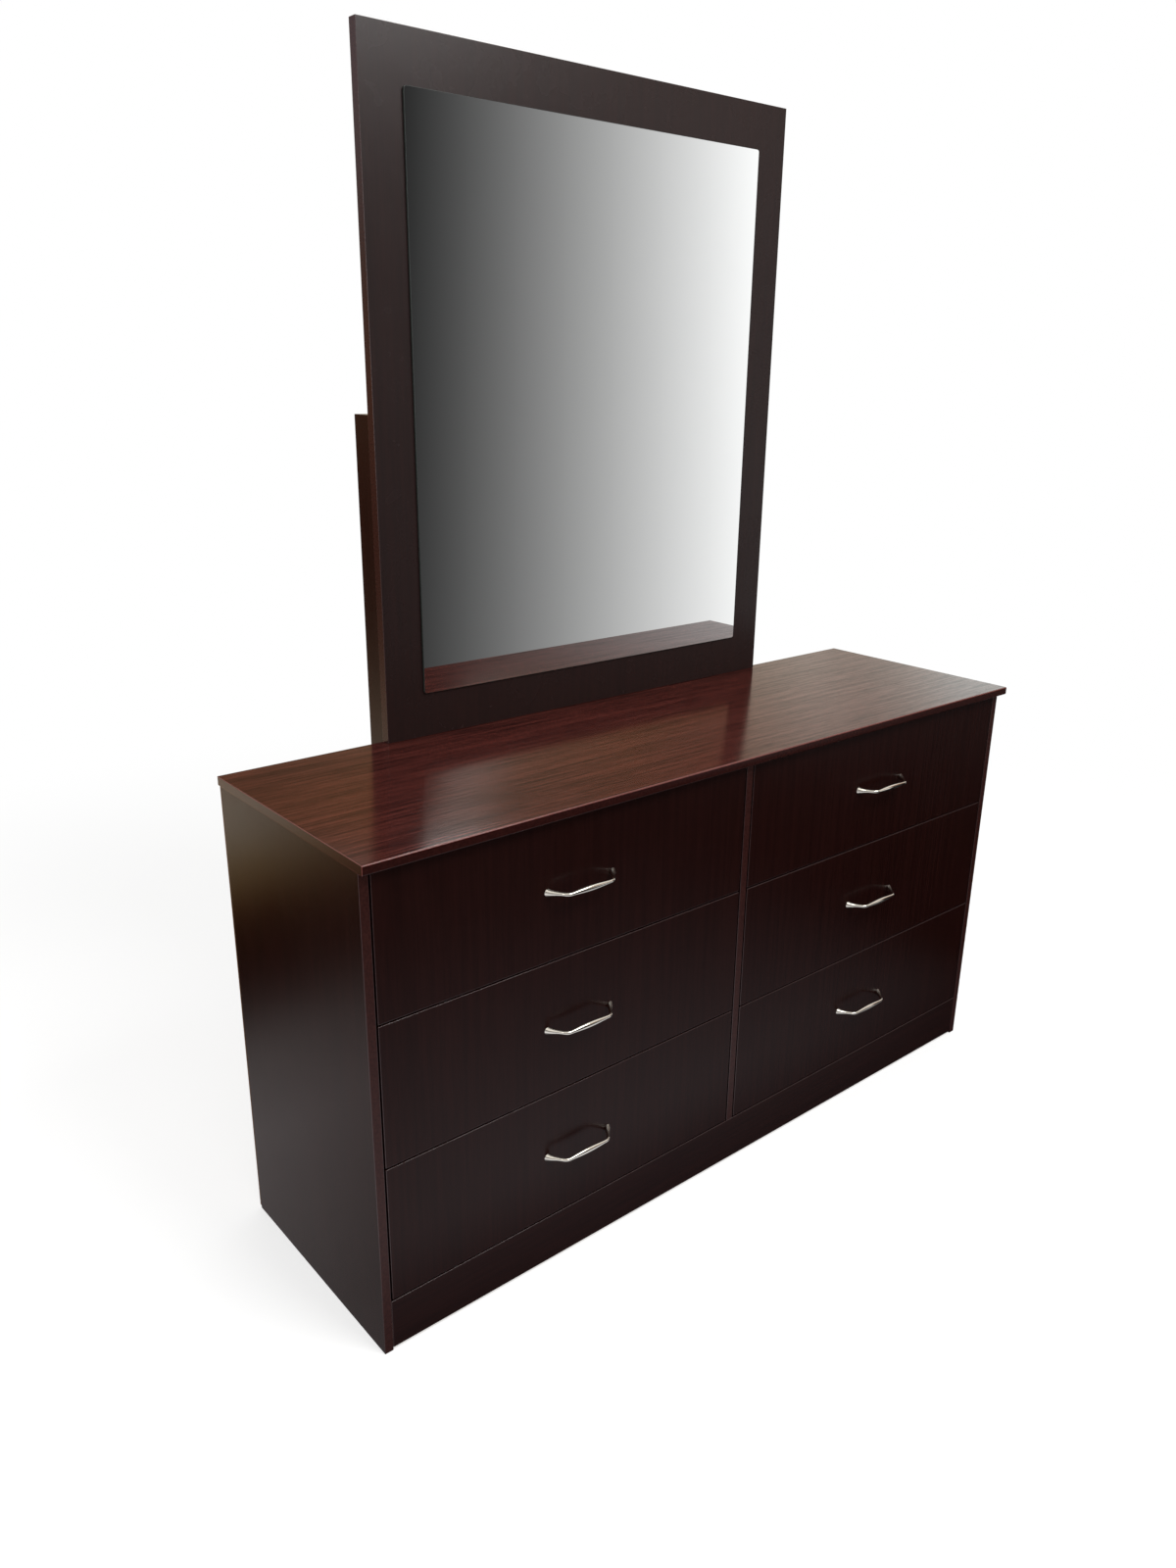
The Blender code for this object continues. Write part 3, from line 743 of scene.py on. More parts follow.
def make_glass():
    low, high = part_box("mirror_glass")
    left, right, under, over = (low.x + GLASS_CORNER, high.x - GLASS_CORNER, low.z + GLASS_CORNER,
                                high.z - GLASS_CORNER)
    outline = []
    for quarter, centre in enumerate(((right, over), (left, over), (left, under), (right, under))):
        outline += arc(centre, GLASS_CORNER, 90 * quarter, 90 * quarter + 90, GLASS_CORNER_STEPS)
    mesh = drawn_mesh("mirror_pane", outline, 1, low.y, high.y)
    for finish in (mirror_silver, glass_edge_with_shade_line):
        mesh.materials.append(finish)
    for face in mesh.polygons:
        face.material_index = SILVERED if facing(face) == "-y" else GROUND
    piece = add_piece(mesh, "mirror_pane", CARCASS, ["mirror_glass"])
    soften(piece, GLASS_ARRIS, ARRIS_STEPS, GROUND)


def round_cutter(centre, radius, depth):
    """A hidden cylinder along Y, half in front of the centre and half behind it."""
    bm = bmesh.new()
    place = Matrix.Translation(centre) @ Matrix.Rotation(math.pi / 2, 4, "X")
    bmesh.ops.create_cone(bm, cap_ends=True, segments=HOLE_SIDES, radius1=radius, radius2=radius,
                          depth=2 * depth, matrix=place)
    return built(bm, "cutter")


def cut(mesh, cutters):
    """The mesh less the cutters, with its own materials kept."""
    objects = [bpy.data.objects.new("cut", part) for part in (mesh, *cutters)]
    for item in objects:
        bpy.context.scene.collection.objects.link(item)
    for item in objects[1:]:
        change = objects[0].modifiers.new("cut", "BOOLEAN")
        change.operation = "DIFFERENCE"
        change.object = item
    depsgraph = bpy.context.evaluated_depsgraph_get()
    result = bpy.data.meshes.new_from_object(objects[0].evaluated_get(depsgraph))
    for item in objects:
        bpy.data.objects.remove(item)
    return result


def post_screw_heights():
    """One screw goes into each back rail, and three go into the mirror board, over the top."""
    heights = [sum(corner.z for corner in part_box(f"back_rail_{which}")) / 2 for which in ("lower", "upper")]
    return heights + [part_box("top_panel")[1].z + rise for rise in BOARD_SCREWS]


POST_SCREWS = post_screw_heights()


def make_posts():
    for side in COLUMNS:
        node, name = f"mirror_support_{side}", f"{side}_post"
        low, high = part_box(node)
        mesh = block_mesh(name, low, high)
        clad(mesh, DARK, "x", ("-z",))
        middle = (low.x + high.x) / 2
        mesh = cut(mesh, [round_cutter((middle, high.y, z), SUNK_HOLE / 2, SUNK_DEPTH) for z in POST_SCREWS])
        mesh.name = name
        soften(add_piece(mesh, name, CARCASS, [node]))


make_board("mirror_board", "mirror_backboard", CARCASS, DARK_MIRROR, "y")
make_glass()
make_posts()
print("mirror pieces done,", len(POST_SCREWS), "screws in each post")

# %% [markdown]
# ## Drawer boxes
#
# A drawer is a box behind its front: two side boards and a back board of thinner stock, and a hardboard
# bottom that slides into a groove. The groove in the side boards is part of their section. In the front
# it stops short of the ends, so it is cut. The bottom's solid already has the right shape and only gets
# its finish.

# %% Drawer boxes
BOX_BOARD = 0.012
BOX_ARRIS = 0.0004
BOX_ARRIS_STEPS = 2
STEEL = 0.0012
GROOVE_DEPTH = 0.006
BOX = (box_foil, box_foil, box_foil, chipboard)
BOX_BACK = (box_back_foil, box_back_foil, box_back_foil, chipboard)


def make_drawer_front(name, body):
    node = f"{name}_drawer_front"
    low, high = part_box(node)
    bottom_low, bottom_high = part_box(f"{name}_drawer_bottom")
    mesh = block_mesh(f"{name}_front_board", low, high)
    clad(mesh, DARK_FRONT, "y")
    groove = block_mesh("groove", (bottom_low.x - SEAT, high.y - GROOVE_DEPTH, bottom_low.z - SEAT),
                        (bottom_high.x + SEAT, high.y + GROOVE_DEPTH, bottom_high.z + SEAT))
    mesh = cut(mesh, [groove])
    soften(add_piece(mesh, f"{name}_front_board", body, [node]))


def side_board_faces(name, hand):
    """X of the inner and the outer face of a side board, which stands at the end of the back board."""
    back_low, back_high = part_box(f"{name}_drawer_back")
    inner = back_low.x - SEAT if hand < 0 else back_high.x + SEAT
    return inner, inner + hand * BOX_BOARD


def side_board_outline(name, hand):
    """Section of a drawer's side board in X and Z, with the groove for the bottom."""
    inner, outer = side_board_faces(name, hand)
    bottom_low, bottom_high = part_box(f"{name}_drawer_bottom")
    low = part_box(f"{name}_drawer_side_left")[0].z + STEEL
    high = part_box(f"{name}_drawer_back")[1].z
    bed = inner + hand * GROOVE_DEPTH
    groove, groove_top = bottom_low.z - SEAT, bottom_high.z + SEAT
    return [(outer, low), (inner, low), (inner, groove), (bed, groove), (bed, groove_top),
            (inner, groove_top), (inner, high), (outer, high)]


def make_drawer_box(name, body):
    low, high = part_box(f"{name}_drawer_side_left")
    for side, hand in HANDS:
        mesh = drawn_mesh(f"{name}_side_board_{side}", side_board_outline(name, hand), 1, low.y, high.y)
        clad(mesh, BOX, "x", ("-y", "+y", "-z"))
        piece = add_piece(mesh, mesh.name, body, [f"{name}_drawer_side_{side}"])
        soften(piece, BOX_ARRIS, BOX_ARRIS_STEPS)
    bare = ("-x", "+x", "-z")
    make_board(f"{name}_drawer_back", f"{name}_back_board", body, BOX_BACK, "y", bare)


for drawer in DRAWERS:
    make_drawer_front(drawer, f"{drawer}_drawer")
    make_drawer_box(drawer, f"{drawer}_drawer")
print("drawer boards", 4 * len(DRAWERS))

# %% [markdown]
# ## Folded steel of the slides
#
# Each slide is two strips of folded steel: a channel on the carcass and a runner under the drawer. A
# strip is easiest to describe by the line of its outer face. `folded` gives that line its thickness, by
# moving each corner to where the two inner faces meet. Drawn out along Y and softened, it looks rolled.
# A channel's wall has three slots for its screws, and near the front a tab is bent down from its roof:
# the runner's roller meets it when the drawer is all the way out, so its place follows the travel.

# %% Folded strips
CHANNEL_LIP = 0.0025
SHELF_WIDTH = 0.009
FOLD = 0.0005
FOLD_STEPS = 2
PLAY = 0.0005
ROLLER_INSET = 0.014
STOP_DEPTH = 0.0035
SLOT_WIDTH = 0.0045
SLOT_LENGTH = 0.009
SLOT_END_STEPS = 8
SLOT_SHARES = (0.10, 0.48, 0.86)
TRAVEL = {joint["child"]: joint["range_m"][1] for joint in frame["joints"]}


def folded(line, gauge):
    """The closed outline of a strip whose metal lies to the right of a line of points."""
    points = [Vector(point) for point in line]
    inner = []
    for i, point in enumerate(points):
        before = (point - points[i - 1]).normalized() if i else None
        after = (points[i + 1] - point).normalized() if i + 1 < len(points) else None
        sides = [Vector((way.y, -way.x)) for way in (before, after) if way]
        shift = sum(sides, Vector((0.0, 0.0)))
        inner.append(point + shift * gauge / (shift.dot(sides[0])))
    return [tuple(point) for point in points + inner[::-1]]


def channel_sides(low, high, hand):
    """X of a channel's wall, which is its outer side, and of its open side."""
    return (low.x, high.x) if hand < 0 else (high.x, low.x)


def channel_line(low, high, hand):
    """Outer faces of a channel, from its lip round to its roof."""
    wall, open_side = channel_sides(low, high, hand)
    roof = open_side + hand * 2 * STEEL
    lip = low.z + STEEL + CHANNEL_LIP
    line = [(open_side, lip), (open_side, low.z), (wall, low.z), (wall, high.z), (roof, high.z)]
    return line if hand < 0 else line[::-1]


def rear_roller(low, high):
    """Axle height and width of the runner's roller, which fills a channel from its floor to its roof."""
    floor, roof = low.z + STEEL + SEAT, high.z - STEEL - PLAY
    return (floor + roof) / 2, roof - floor


def slot_cutter(low, high, share):
    y, z = low.y + (high.y - low.y) * share, (low.z + high.z) / 2
    reach, r = (SLOT_LENGTH - SLOT_WIDTH) / 2, SLOT_WIDTH / 2
    outline = arc((y + reach, z), r, -90, 90, SLOT_END_STEPS)
    outline += arc((y - reach, z), r, 90, 270, SLOT_END_STEPS)
    return drawn_mesh("slot", outline, 0, low.x - STEEL, high.x + STEEL)


def stop_mesh(low, high, hand, travel):
    axle, width = rear_roller(low, high)
    lower = high.z - STEEL - STOP_DEPTH
    contact = math.sqrt((width / 2) ** 2 - (lower - axle) ** 2)
    back = high.y - ROLLER_INSET - travel - contact - PLAY
    wall, open_side = channel_sides(low, high, hand)
    ends = sorted((wall - hand * STEEL / 2, open_side + hand * 2 * STEEL))
    return block_mesh("stop", (ends[0], back - STEEL, lower), (ends[1], back, high.z - STEEL / 2))


def add_joined(name, meshes, finish, body, replaced=()):
    """One piece of one material, from several meshes."""
    bm = bmesh.new()
    for part in meshes:
        bm.from_mesh(part)
    bmesh.ops.recalc_face_normals(bm, faces=bm.faces[:])
    mesh = built(bm, name)
    mesh.materials.append(finish)
    return add_piece(mesh, name, body, replaced)


def make_channel(name, side, hand):
    node = f"{name}_channel_{side}"
    low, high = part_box(node)
    sheet = drawn_mesh("channel", folded(channel_line(low, high, hand), STEEL), 1, low.y, high.y)
    sheet = cut(sheet, [slot_cutter(low, high, share) for share in SLOT_SHARES])
    stop = stop_mesh(low, high, hand, TRAVEL[f"{name}_drawer"])
    piece = add_joined(f"{name}_slide_channel_{side}", [sheet, stop], slide_coat, CARCASS, replaced=[node])
    soften(piece, FOLD, FOLD_STEPS, OF_THE_FACES)


for drawer in DRAWERS:
    for side, hand in HANDS:
        make_channel(drawer, side, hand)
print("channels", 2 * len(DRAWERS))

# %% [markdown]
# The runner goes with the drawer. It is an angle under the side board, a web beside it and a wing that
# runs over the channel's front roller, all from one strip. The wing is cut away near the back, where the
# runner's own roller takes its place.

# %% Runners
SLIDE_SPACE = 0.0125
WING_RISE = 0.0200


def runner_faces(name, side, hand):
    """X of the board that the channel is screwed to, and of the runner's web."""
    wall, _ = channel_sides(*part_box(f"{name}_channel_{side}"), hand)
    panel = wall + hand * SEAT
    return panel, panel - hand * (SLIDE_SPACE - STEEL)


def runner_strips(name, side, hand):
    low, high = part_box(f"{name}_drawer_side_{side}")
    panel, web = runner_faces(name, side, hand)
    shelf_end = web - hand * (STEEL + SHELF_WIDTH)
    wing_end = panel - hand * (SEAT + 2 * STEEL)
    bed = low.z
    wing = bed + WING_RISE
    _, roller = rear_roller(*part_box(f"{name}_channel_{side}"))
    rear = high.y - ROLLER_INSET - roller / 2 - SEAT
    whole = [(shelf_end, bed), (web, bed), (web, wing), (wing_end, wing)]
    plain = [(shelf_end, bed), (web, bed), (web, wing + STEEL)]
    strips = []
    for line, start, end in ((whole, low.y + STEEL, rear), (plain, rear, high.y - SEAT)):
        points = line if hand < 0 else line[::-1]
        strips.append(drawn_mesh("strip", folded(points, STEEL), 1, start, end))
    return strips


def make_runners(name):
    strips = [strip for side, hand in HANDS for strip in runner_strips(name, side, hand)]
    piece = add_joined(f"{name}_runners", strips, slide_coat, f"{name}_drawer")
    soften(piece, FOLD / 2, FOLD_STEPS, OF_THE_FACES)


for drawer in DRAWERS:
    make_runners(drawer)
print("runners", 2 * len(DRAWERS))

# %% [markdown]
# ## Turned pieces by Geometry Nodes
#
# Screws, cams, nails and rollers are all turned shapes. One tree makes them: a disc is extruded and
# scaled once for each step of a profile, then a cross is cut in its end where it has one. Copies go on
# the points of a carrier mesh. Each copy looks along the point's own direction and is turned by a random
# angle, as screws are. The tree ends in one real mesh with its material.
#
# The cross is cut bar by bar. One Boolean with both bars at once would leave nothing, because they
# overlap.

# %% Turned tree
WELD = 0.00001
TURNED_SHARP = 0.6
CROSS_BAR = 0.22
CROSS_BLOCK = 0.66


def cut_cross(shape, size):
    """Cuts two bars into the upper end. Their blocks stand half over it, so they cut half as deep."""
    top = split(add(shape.tree, "GeometryNodeBoundBox", {"Geometry": shape})["Max"])[2]
    thin, tall = size * CROSS_BAR, size * CROSS_BLOCK
    lift = combined(z=top)
    for first, second in ((size, thin), (thin, size)):
        bar = add(shape.tree, "GeometryNodeMeshCube", {"Size": combined(first, second, tall)})[0]
        bar = add(shape.tree, "GeometryNodeTransform", {"Geometry": bar, "Translation": lift})[0]
        shape = add(shape.tree, "GeometryNodeMeshBoolean", {"Mesh 1": shape, "Mesh 2": bar},
                    operation="DIFFERENCE", solver="MANIFOLD")[0]
    return shape


def shaded(shape, sharp):
    """Smooth faces, with a hard edge where two of them meet at more than an angle."""
    shape = add(shape.tree, "GeometryNodeSetShadeSmooth", {"Geometry": shape}, domain="FACE")[0]
    angle = add(shape.tree, "GeometryNodeInputMeshEdgeAngle")["Unsigned Angle"]
    smooth = add(shape.tree, "FunctionNodeCompare", {"A": angle, "B": sharp}, data_type="FLOAT",
                 operation="LESS_THAN")[0]
    soft = {"Geometry": shape, "Shade Smooth": smooth}
    return add(shape.tree, "GeometryNodeSetShadeSmooth", soft, domain="EDGE")[0]


def end_tree(shape, finish):
    """Turns copies into real faces, gives them their material and puts them out."""
    real = add(shape.tree, "GeometryNodeRealizeInstances", {"Geometry": shape})[0]
    done = add(shape.tree, "GeometryNodeSetMaterial", {"Geometry": real, "Material": finish})[0]
    add(shape.tree, "NodeGroupOutput", {"Piece": done})


def copied(places, shape, seed):
    """Copies of a shape on the points of a carrier, each turned by a random angle about its own way."""
    tree = shape.tree
    way = add(tree, "GeometryNodeInputNamedAttribute", {"Name": "facing"}, data_type="FLOAT_VECTOR")[0]
    stand = add(tree, "FunctionNodeAlignRotationToVector", {"Vector": way}, axis="Z")[0]
    chance = add(tree, "FunctionNodeRandomValue", {2: 0.0, 3: math.tau, "Seed": seed}, data_type="FLOAT")[1]
    twist = add(tree, "FunctionNodeAxisAngleToRotation", {"Axis": (0, 0, 1), "Angle": chance})[0]
    spin = add(tree, "FunctionNodeRotateRotation", {"Rotation": stand, "Rotate By": twist},
               rotation_space="LOCAL")[0]
    copies = {"Points": places, "Instance": shape, "Rotation": spin}
    return add(tree, "GeometryNodeInstanceOnPoints", copies)[0]


def turned_tree(name, steps, sides, cross):
    inputs = {"Places": "shape", "Width": "number"}
    for n in range(1, steps + 1):
        inputs[f"Rise {n}"] = "number"
        inputs[f"Width {n}"] = "number"
    inputs.update({"Cross": "number", "Seed": "count", "Finish": "finish"})
    tree, given = new_group(name, "GeometryNodeTree", inputs, {"Piece": "shape"})
    width = given["Width"]
    circle = {"Vertices": sides, "Radius": width * 0.5}
    disc = add(tree, "GeometryNodeMeshCircle", circle, fill_type="NGON")[0]
    shape, end = disc, {}
    for n in range(1, steps + 1):
        rise = {"Mesh": shape, "Offset Scale": given[f"Rise {n}"], "Individual": False}
        grown = add(tree, "GeometryNodeExtrudeMesh", {**rise, **end})
        end = {"Selection": grown["Top"]}
        growth = {"Geometry": grown["Mesh"], "Scale": given[f"Width {n}"] / width}
        shape = add(tree, "GeometryNodeScaleElements", {**growth, **end})[0]
        width = given[f"Width {n}"]
    both = add(tree, "GeometryNodeJoinGeometry", {0: shape})
    feed(both.node, {0: add(tree, "GeometryNodeFlipFaces", {"Mesh": disc})[0]})
    shape = add(tree, "GeometryNodeMergeByDistance", {"Geometry": both[0], "Distance": WELD})[0]
    if cross:
        shape = cut_cross(shape, given["Cross"])
    end_tree(copied(given["Places"], shaded(shape, TURNED_SHARP), given["Seed"]), given["Finish"])
    return tree


def grow(tree, places, settings, edges=()):
    """The mesh that a tree makes on a carrier of places, each a point and the way it looks."""
    carrier = bpy.data.meshes.new("carrier")
    carrier.from_pydata([tuple(point) for point, _ in places], list(edges), [])
    way = carrier.attributes.new("facing", "FLOAT_VECTOR", "POINT")
    way.data.foreach_set("vector", [part for _, looks in places for part in looks])
    holder = bpy.data.objects.new("carrier", carrier)
    bpy.context.scene.collection.objects.link(holder)
    grown = holder.modifiers.new("grown", "NODES")
    grown.node_group = tree
    for item in tree.interface.items_tree:
        if item.in_out == "INPUT" and item.name in settings:
            grown[item.identifier] = settings[item.name]
    depsgraph = bpy.context.evaluated_depsgraph_get()
    mesh = bpy.data.meshes.new_from_object(holder.evaluated_get(depsgraph))
    bpy.data.objects.remove(holder)
    return mesh


TURNED = {}


def turned_shape(places, profile, finish, sides=24, cross=0.0, seed=1):
    """Turned pieces at some places. The profile is a first width, then a rise and a width for each step."""
    width, steps = profile[0], profile[1:]
    key = (len(steps), sides, cross > 0)
    if key not in TURNED:
        TURNED[key] = turned_tree(f"turned in {len(steps)} steps, {sides} sides", *key)
    settings = {"Width": width, "Cross": cross, "Seed": seed, "Finish": finish}
    for n, (rise, wide) in enumerate(steps, 1):
        settings[f"Rise {n}"] = rise
        settings[f"Width {n}"] = wide
    return grow(TURNED[key], places, settings)


print("a cross is cut to", CROSS_BLOCK / 2, "of its own size")

# %% [markdown]
# ## Rollers and their screws
#
# Each channel has a roller at its front end, and each runner one at its back end. A roller is a plastic
# wheel with chamfered rims on a steel rivet. The channels are screwed to the carcass through their
# walls, with low heads that the runner's roller can pass.

# %% Rollers
FRONT_ROLLER = 0.0190
FRONT_AXLE_RISE = 0.0110
AXLE = 0.006
RIM = 0.0006
WHEEL = 0.0068
HUB = 0.62
HUB_BED = 0.58
WHEEL_SIDES = 40
HEAD_SIDES = 20
RIVET = (0.0066, (0.0008, 0.0066), (0.0004, 0.0052))
LOW_HEAD = (0.0070, (0.0002, 0.0070), (0.0001, 0.0062))


def wheel_profile(width, gap):
    """An axle as long as the gap, then a wheel with chamfered rims and a hub that is sunk a little."""
    return (AXLE, (gap, AXLE), (0.0, width - 2 * RIM), (RIM, width), (WHEEL - 2 * RIM, width),
            (RIM, width - 2 * RIM), (0.0, width * HUB), (-RIM, width * HUB_BED))


def make_front_rollers():
    wheels, rivets, screws = [], [], []
    for name in DRAWERS:
        for side, hand in HANDS:
            low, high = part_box(f"{name}_channel_{side}")
            looks = (-hand, 0.0, 0.0)
            wall, _ = channel_sides(low, high, hand)
            inside = wall - hand * STEEL
            head = inside - hand * (PLAY + WHEEL - RIM)
            y, z = low.y + ROLLER_INSET, low.z + FRONT_AXLE_RISE
            wheels.append(((inside, y, z), looks))
            rivets.append(((head, y, z), looks))
            for share in SLOT_SHARES:
                y = low.y + share * (high.y - low.y)
                screws.append(((inside, y, (low.z + high.z) / 2), looks))
    rollers = turned_shape(wheels, wheel_profile(FRONT_ROLLER, PLAY), roller_plastic, WHEEL_SIDES)
    add_joined("channel_rollers", [rollers], roller_plastic, CARCASS)
    heads = turned_shape(rivets, RIVET, zinc, HEAD_SIDES)
    fixings = turned_shape(screws, LOW_HEAD, zinc, HEAD_SIDES, seed=4)
    add_joined("slide_screws", [heads, fixings], zinc, CARCASS)
    return len(wheels), len(screws)


def make_rear_rollers(name):
    wheels = []
    for side, hand in HANDS:
        _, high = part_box(f"{name}_drawer_side_{side}")
        _, web = runner_faces(name, side, hand)
        axle, width = rear_roller(*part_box(f"{name}_channel_{side}"))
        wheels.append(((web, high.y - ROLLER_INSET, axle), (hand, 0.0, 0.0)))
    gap = SLIDE_SPACE - STEEL - (SEAT + STEEL + PLAY) - WHEEL
    rollers = turned_shape(wheels, wheel_profile(width, gap), roller_plastic, WHEEL_SIDES)
    add_joined(f"{name}_rollers", [rollers], roller_plastic, f"{name}_drawer")


print("wheels, screws", make_front_rollers())
for drawer in DRAWERS:
    make_rear_rollers(drawer)

# %% [markdown]
# ## Fittings of the drawers
#
# Flat-pack furniture is held together by cam fittings and screws. The cams sit in the inner faces of
# the side boards near the front, and their heads are almost flush. Two bolts hold each handle from
# inside the drawer. Thin screws hold the runners from below and the back board from the sides.

# %% Fittings of the drawers
CAM = (0.0150, (0.0002, 0.0150), (0.0001, 0.0140))
CAM_SIDES = 32
CAM_CROSS = 0.0062
CAM_INSET = 0.034
BOLT = (0.0080, (0.0012, 0.0080), (0.0006, 0.0068), (0.0004, 0.0044))
BOLT_CROSS = 0.0044
FLAT_HEAD = (0.0065, (0.0002, 0.0065), (0.0001, 0.0058))
FLAT_CROSS = 0.0034
SCREW_SIDES = 24
FIXING_HEIGHTS = (0.070, 0.150)
HOLE_SHARES = (0.12, 0.45, 0.82)
HANDLE_CENTRES = 0.128


def make_drawer_fittings(name, seed):
    front_low, front_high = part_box(f"{name}_drawer_front")
    side_low, side_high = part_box(f"{name}_drawer_side_left")
    back_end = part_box(f"{name}_drawer_back")[1].y
    cams, screws = [], []
    for _, hand in HANDS:
        inner, outer = side_board_faces(name, hand)
        for height in FIXING_HEIGHTS:
            z = front_low.z + height
            cams.append(((inner, front_high.y + CAM_INSET, z), (-hand, 0.0, 0.0)))
            screws.append(((outer, back_end - BOX_BOARD / 2, z), (hand, 0.0, 0.0)))
        for share in HOLE_SHARES:
            y = side_low.y + (side_high.y - side_low.y) * share
            screws.append(((outer - hand * SHELF_WIDTH / 2, y, side_low.z), (0.0, 0.0, -1.0)))
    middle = (front_low + front_high) / 2
    ends = [middle.x + hand * HANDLE_CENTRES / 2 for _, hand in HANDS]
    bolts = [((x, front_high.y, middle.z), (0.0, 1.0, 0.0)) for x in ends]
    parts = [turned_shape(cams, CAM, zinc, CAM_SIDES, CAM_CROSS, seed),
             turned_shape(screws, FLAT_HEAD, zinc, SCREW_SIDES, FLAT_CROSS, seed),
             turned_shape(bolts, BOLT, zinc, SCREW_SIDES, BOLT_CROSS, seed)]
    add_joined(f"{name}_fittings", parts, zinc, f"{name}_drawer")


for order, drawer in enumerate(DRAWERS):
    make_drawer_fittings(drawer, order)
print("sets of drawer fittings", len(DRAWERS))

# %% [markdown]
# ## Fittings of the carcass
#
# The hardboard back is nailed along its two upright edges and into the rails, but not where the posts
# cover it. Cams hold the top on the side panels, and each post is screwed through its sunk holes.

# %% Fittings of the carcass
NAIL = (0.0045, (0.0002, 0.0045), (0.0001, 0.0036))
NAIL_SIDES = 16
NAIL_EDGE = 0.0075
NAIL_DROP = 0.030
NAILS_UP, NAIL_RISE = 9, 0.0925
NAILS_ALONG, NAIL_STEP, NAIL_START = 13, 0.115, 0.057
POST_STRIP = (0.405, 0.460)
TOP_CAM_DROP = 0.034
TOP_CAM_FRONT = 0.060
TOP_CAM_BACK = 0.090
POST_HEAD = (0.0090, (0.0014, 0.0090), (0.0006, 0.0074))
POST_CROSS = 0.0050


def nail_places():
    low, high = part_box("back_panel")
    rows = [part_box(f"back_rail_{which}")[1].z - NAIL_DROP for which in ("lower", "upper")]
    spots = [(x, low.z + NAIL_DROP + NAIL_RISE * step)
             for x in (low.x + NAIL_EDGE, high.x - NAIL_EDGE) for step in range(NAILS_UP)]
    for step in range(NAILS_ALONG):
        x = low.x + NAIL_START + NAIL_STEP * step
        if not POST_STRIP[0] < abs(x) < POST_STRIP[1]:
            spots += [(x, z) for z in rows]
    return [((x, high.y, z), (0.0, 1.0, 0.0)) for x, z in spots]


def make_carcass_fittings():
    cams, screws = [], []
    for side, hand in HANDS:
        low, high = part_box(f"side_panel_{side}")
        inner = high.x if hand < 0 else low.x
        for y in (low.y + TOP_CAM_FRONT, high.y - TOP_CAM_BACK):
            cams.append(((inner, y, high.z - TOP_CAM_DROP), (-hand, 0.0, 0.0)))
        post_low, post_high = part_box(f"mirror_support_{side}")
        middle = (post_low.x + post_high.x) / 2
        screws += [((middle, post_high.y - SUNK_DEPTH, z), (0.0, 1.0, 0.0)) for z in POST_SCREWS]
    nails = nail_places()
    parts = [turned_shape(nails, NAIL, zinc, NAIL_SIDES),
             turned_shape(cams, CAM, zinc, CAM_SIDES, CAM_CROSS),
             turned_shape(screws, POST_HEAD, zinc, SCREW_SIDES, POST_CROSS, seed=7)]
    add_joined("carcass_fittings", parts, zinc, CARCASS)
    return len(nails), len(cams), len(screws)


print("nails, cams, post screws", make_carcass_fittings())

# %% [markdown]
# ## Bow handles by Geometry Nodes
#
# A handle is cast in one piece: a round foot flares down to a slim waist, bends, and swells into a bar
# that is a little flat. Its middle line is a path of four points with rounded corners. A grid is wrapped
# round that path: its columns become rings, and each ring gets its place, direction and width from how
# far along the leg or the bar it is. At the feet the rings turn until they lie flat on the drawer front,
# and the first and the last ring shrink to a point, which closes the ends.

# %% Handle tree
BEND_STEPS = 24
BEND_SHARE = 0.9
FLARE_POWER = 2.4
SWELL_POWER = 1.3
FOOT_SHARE = 1 / 3
HANDLE_WELD = 0.000002
HANDLE_SHARP = 0.9


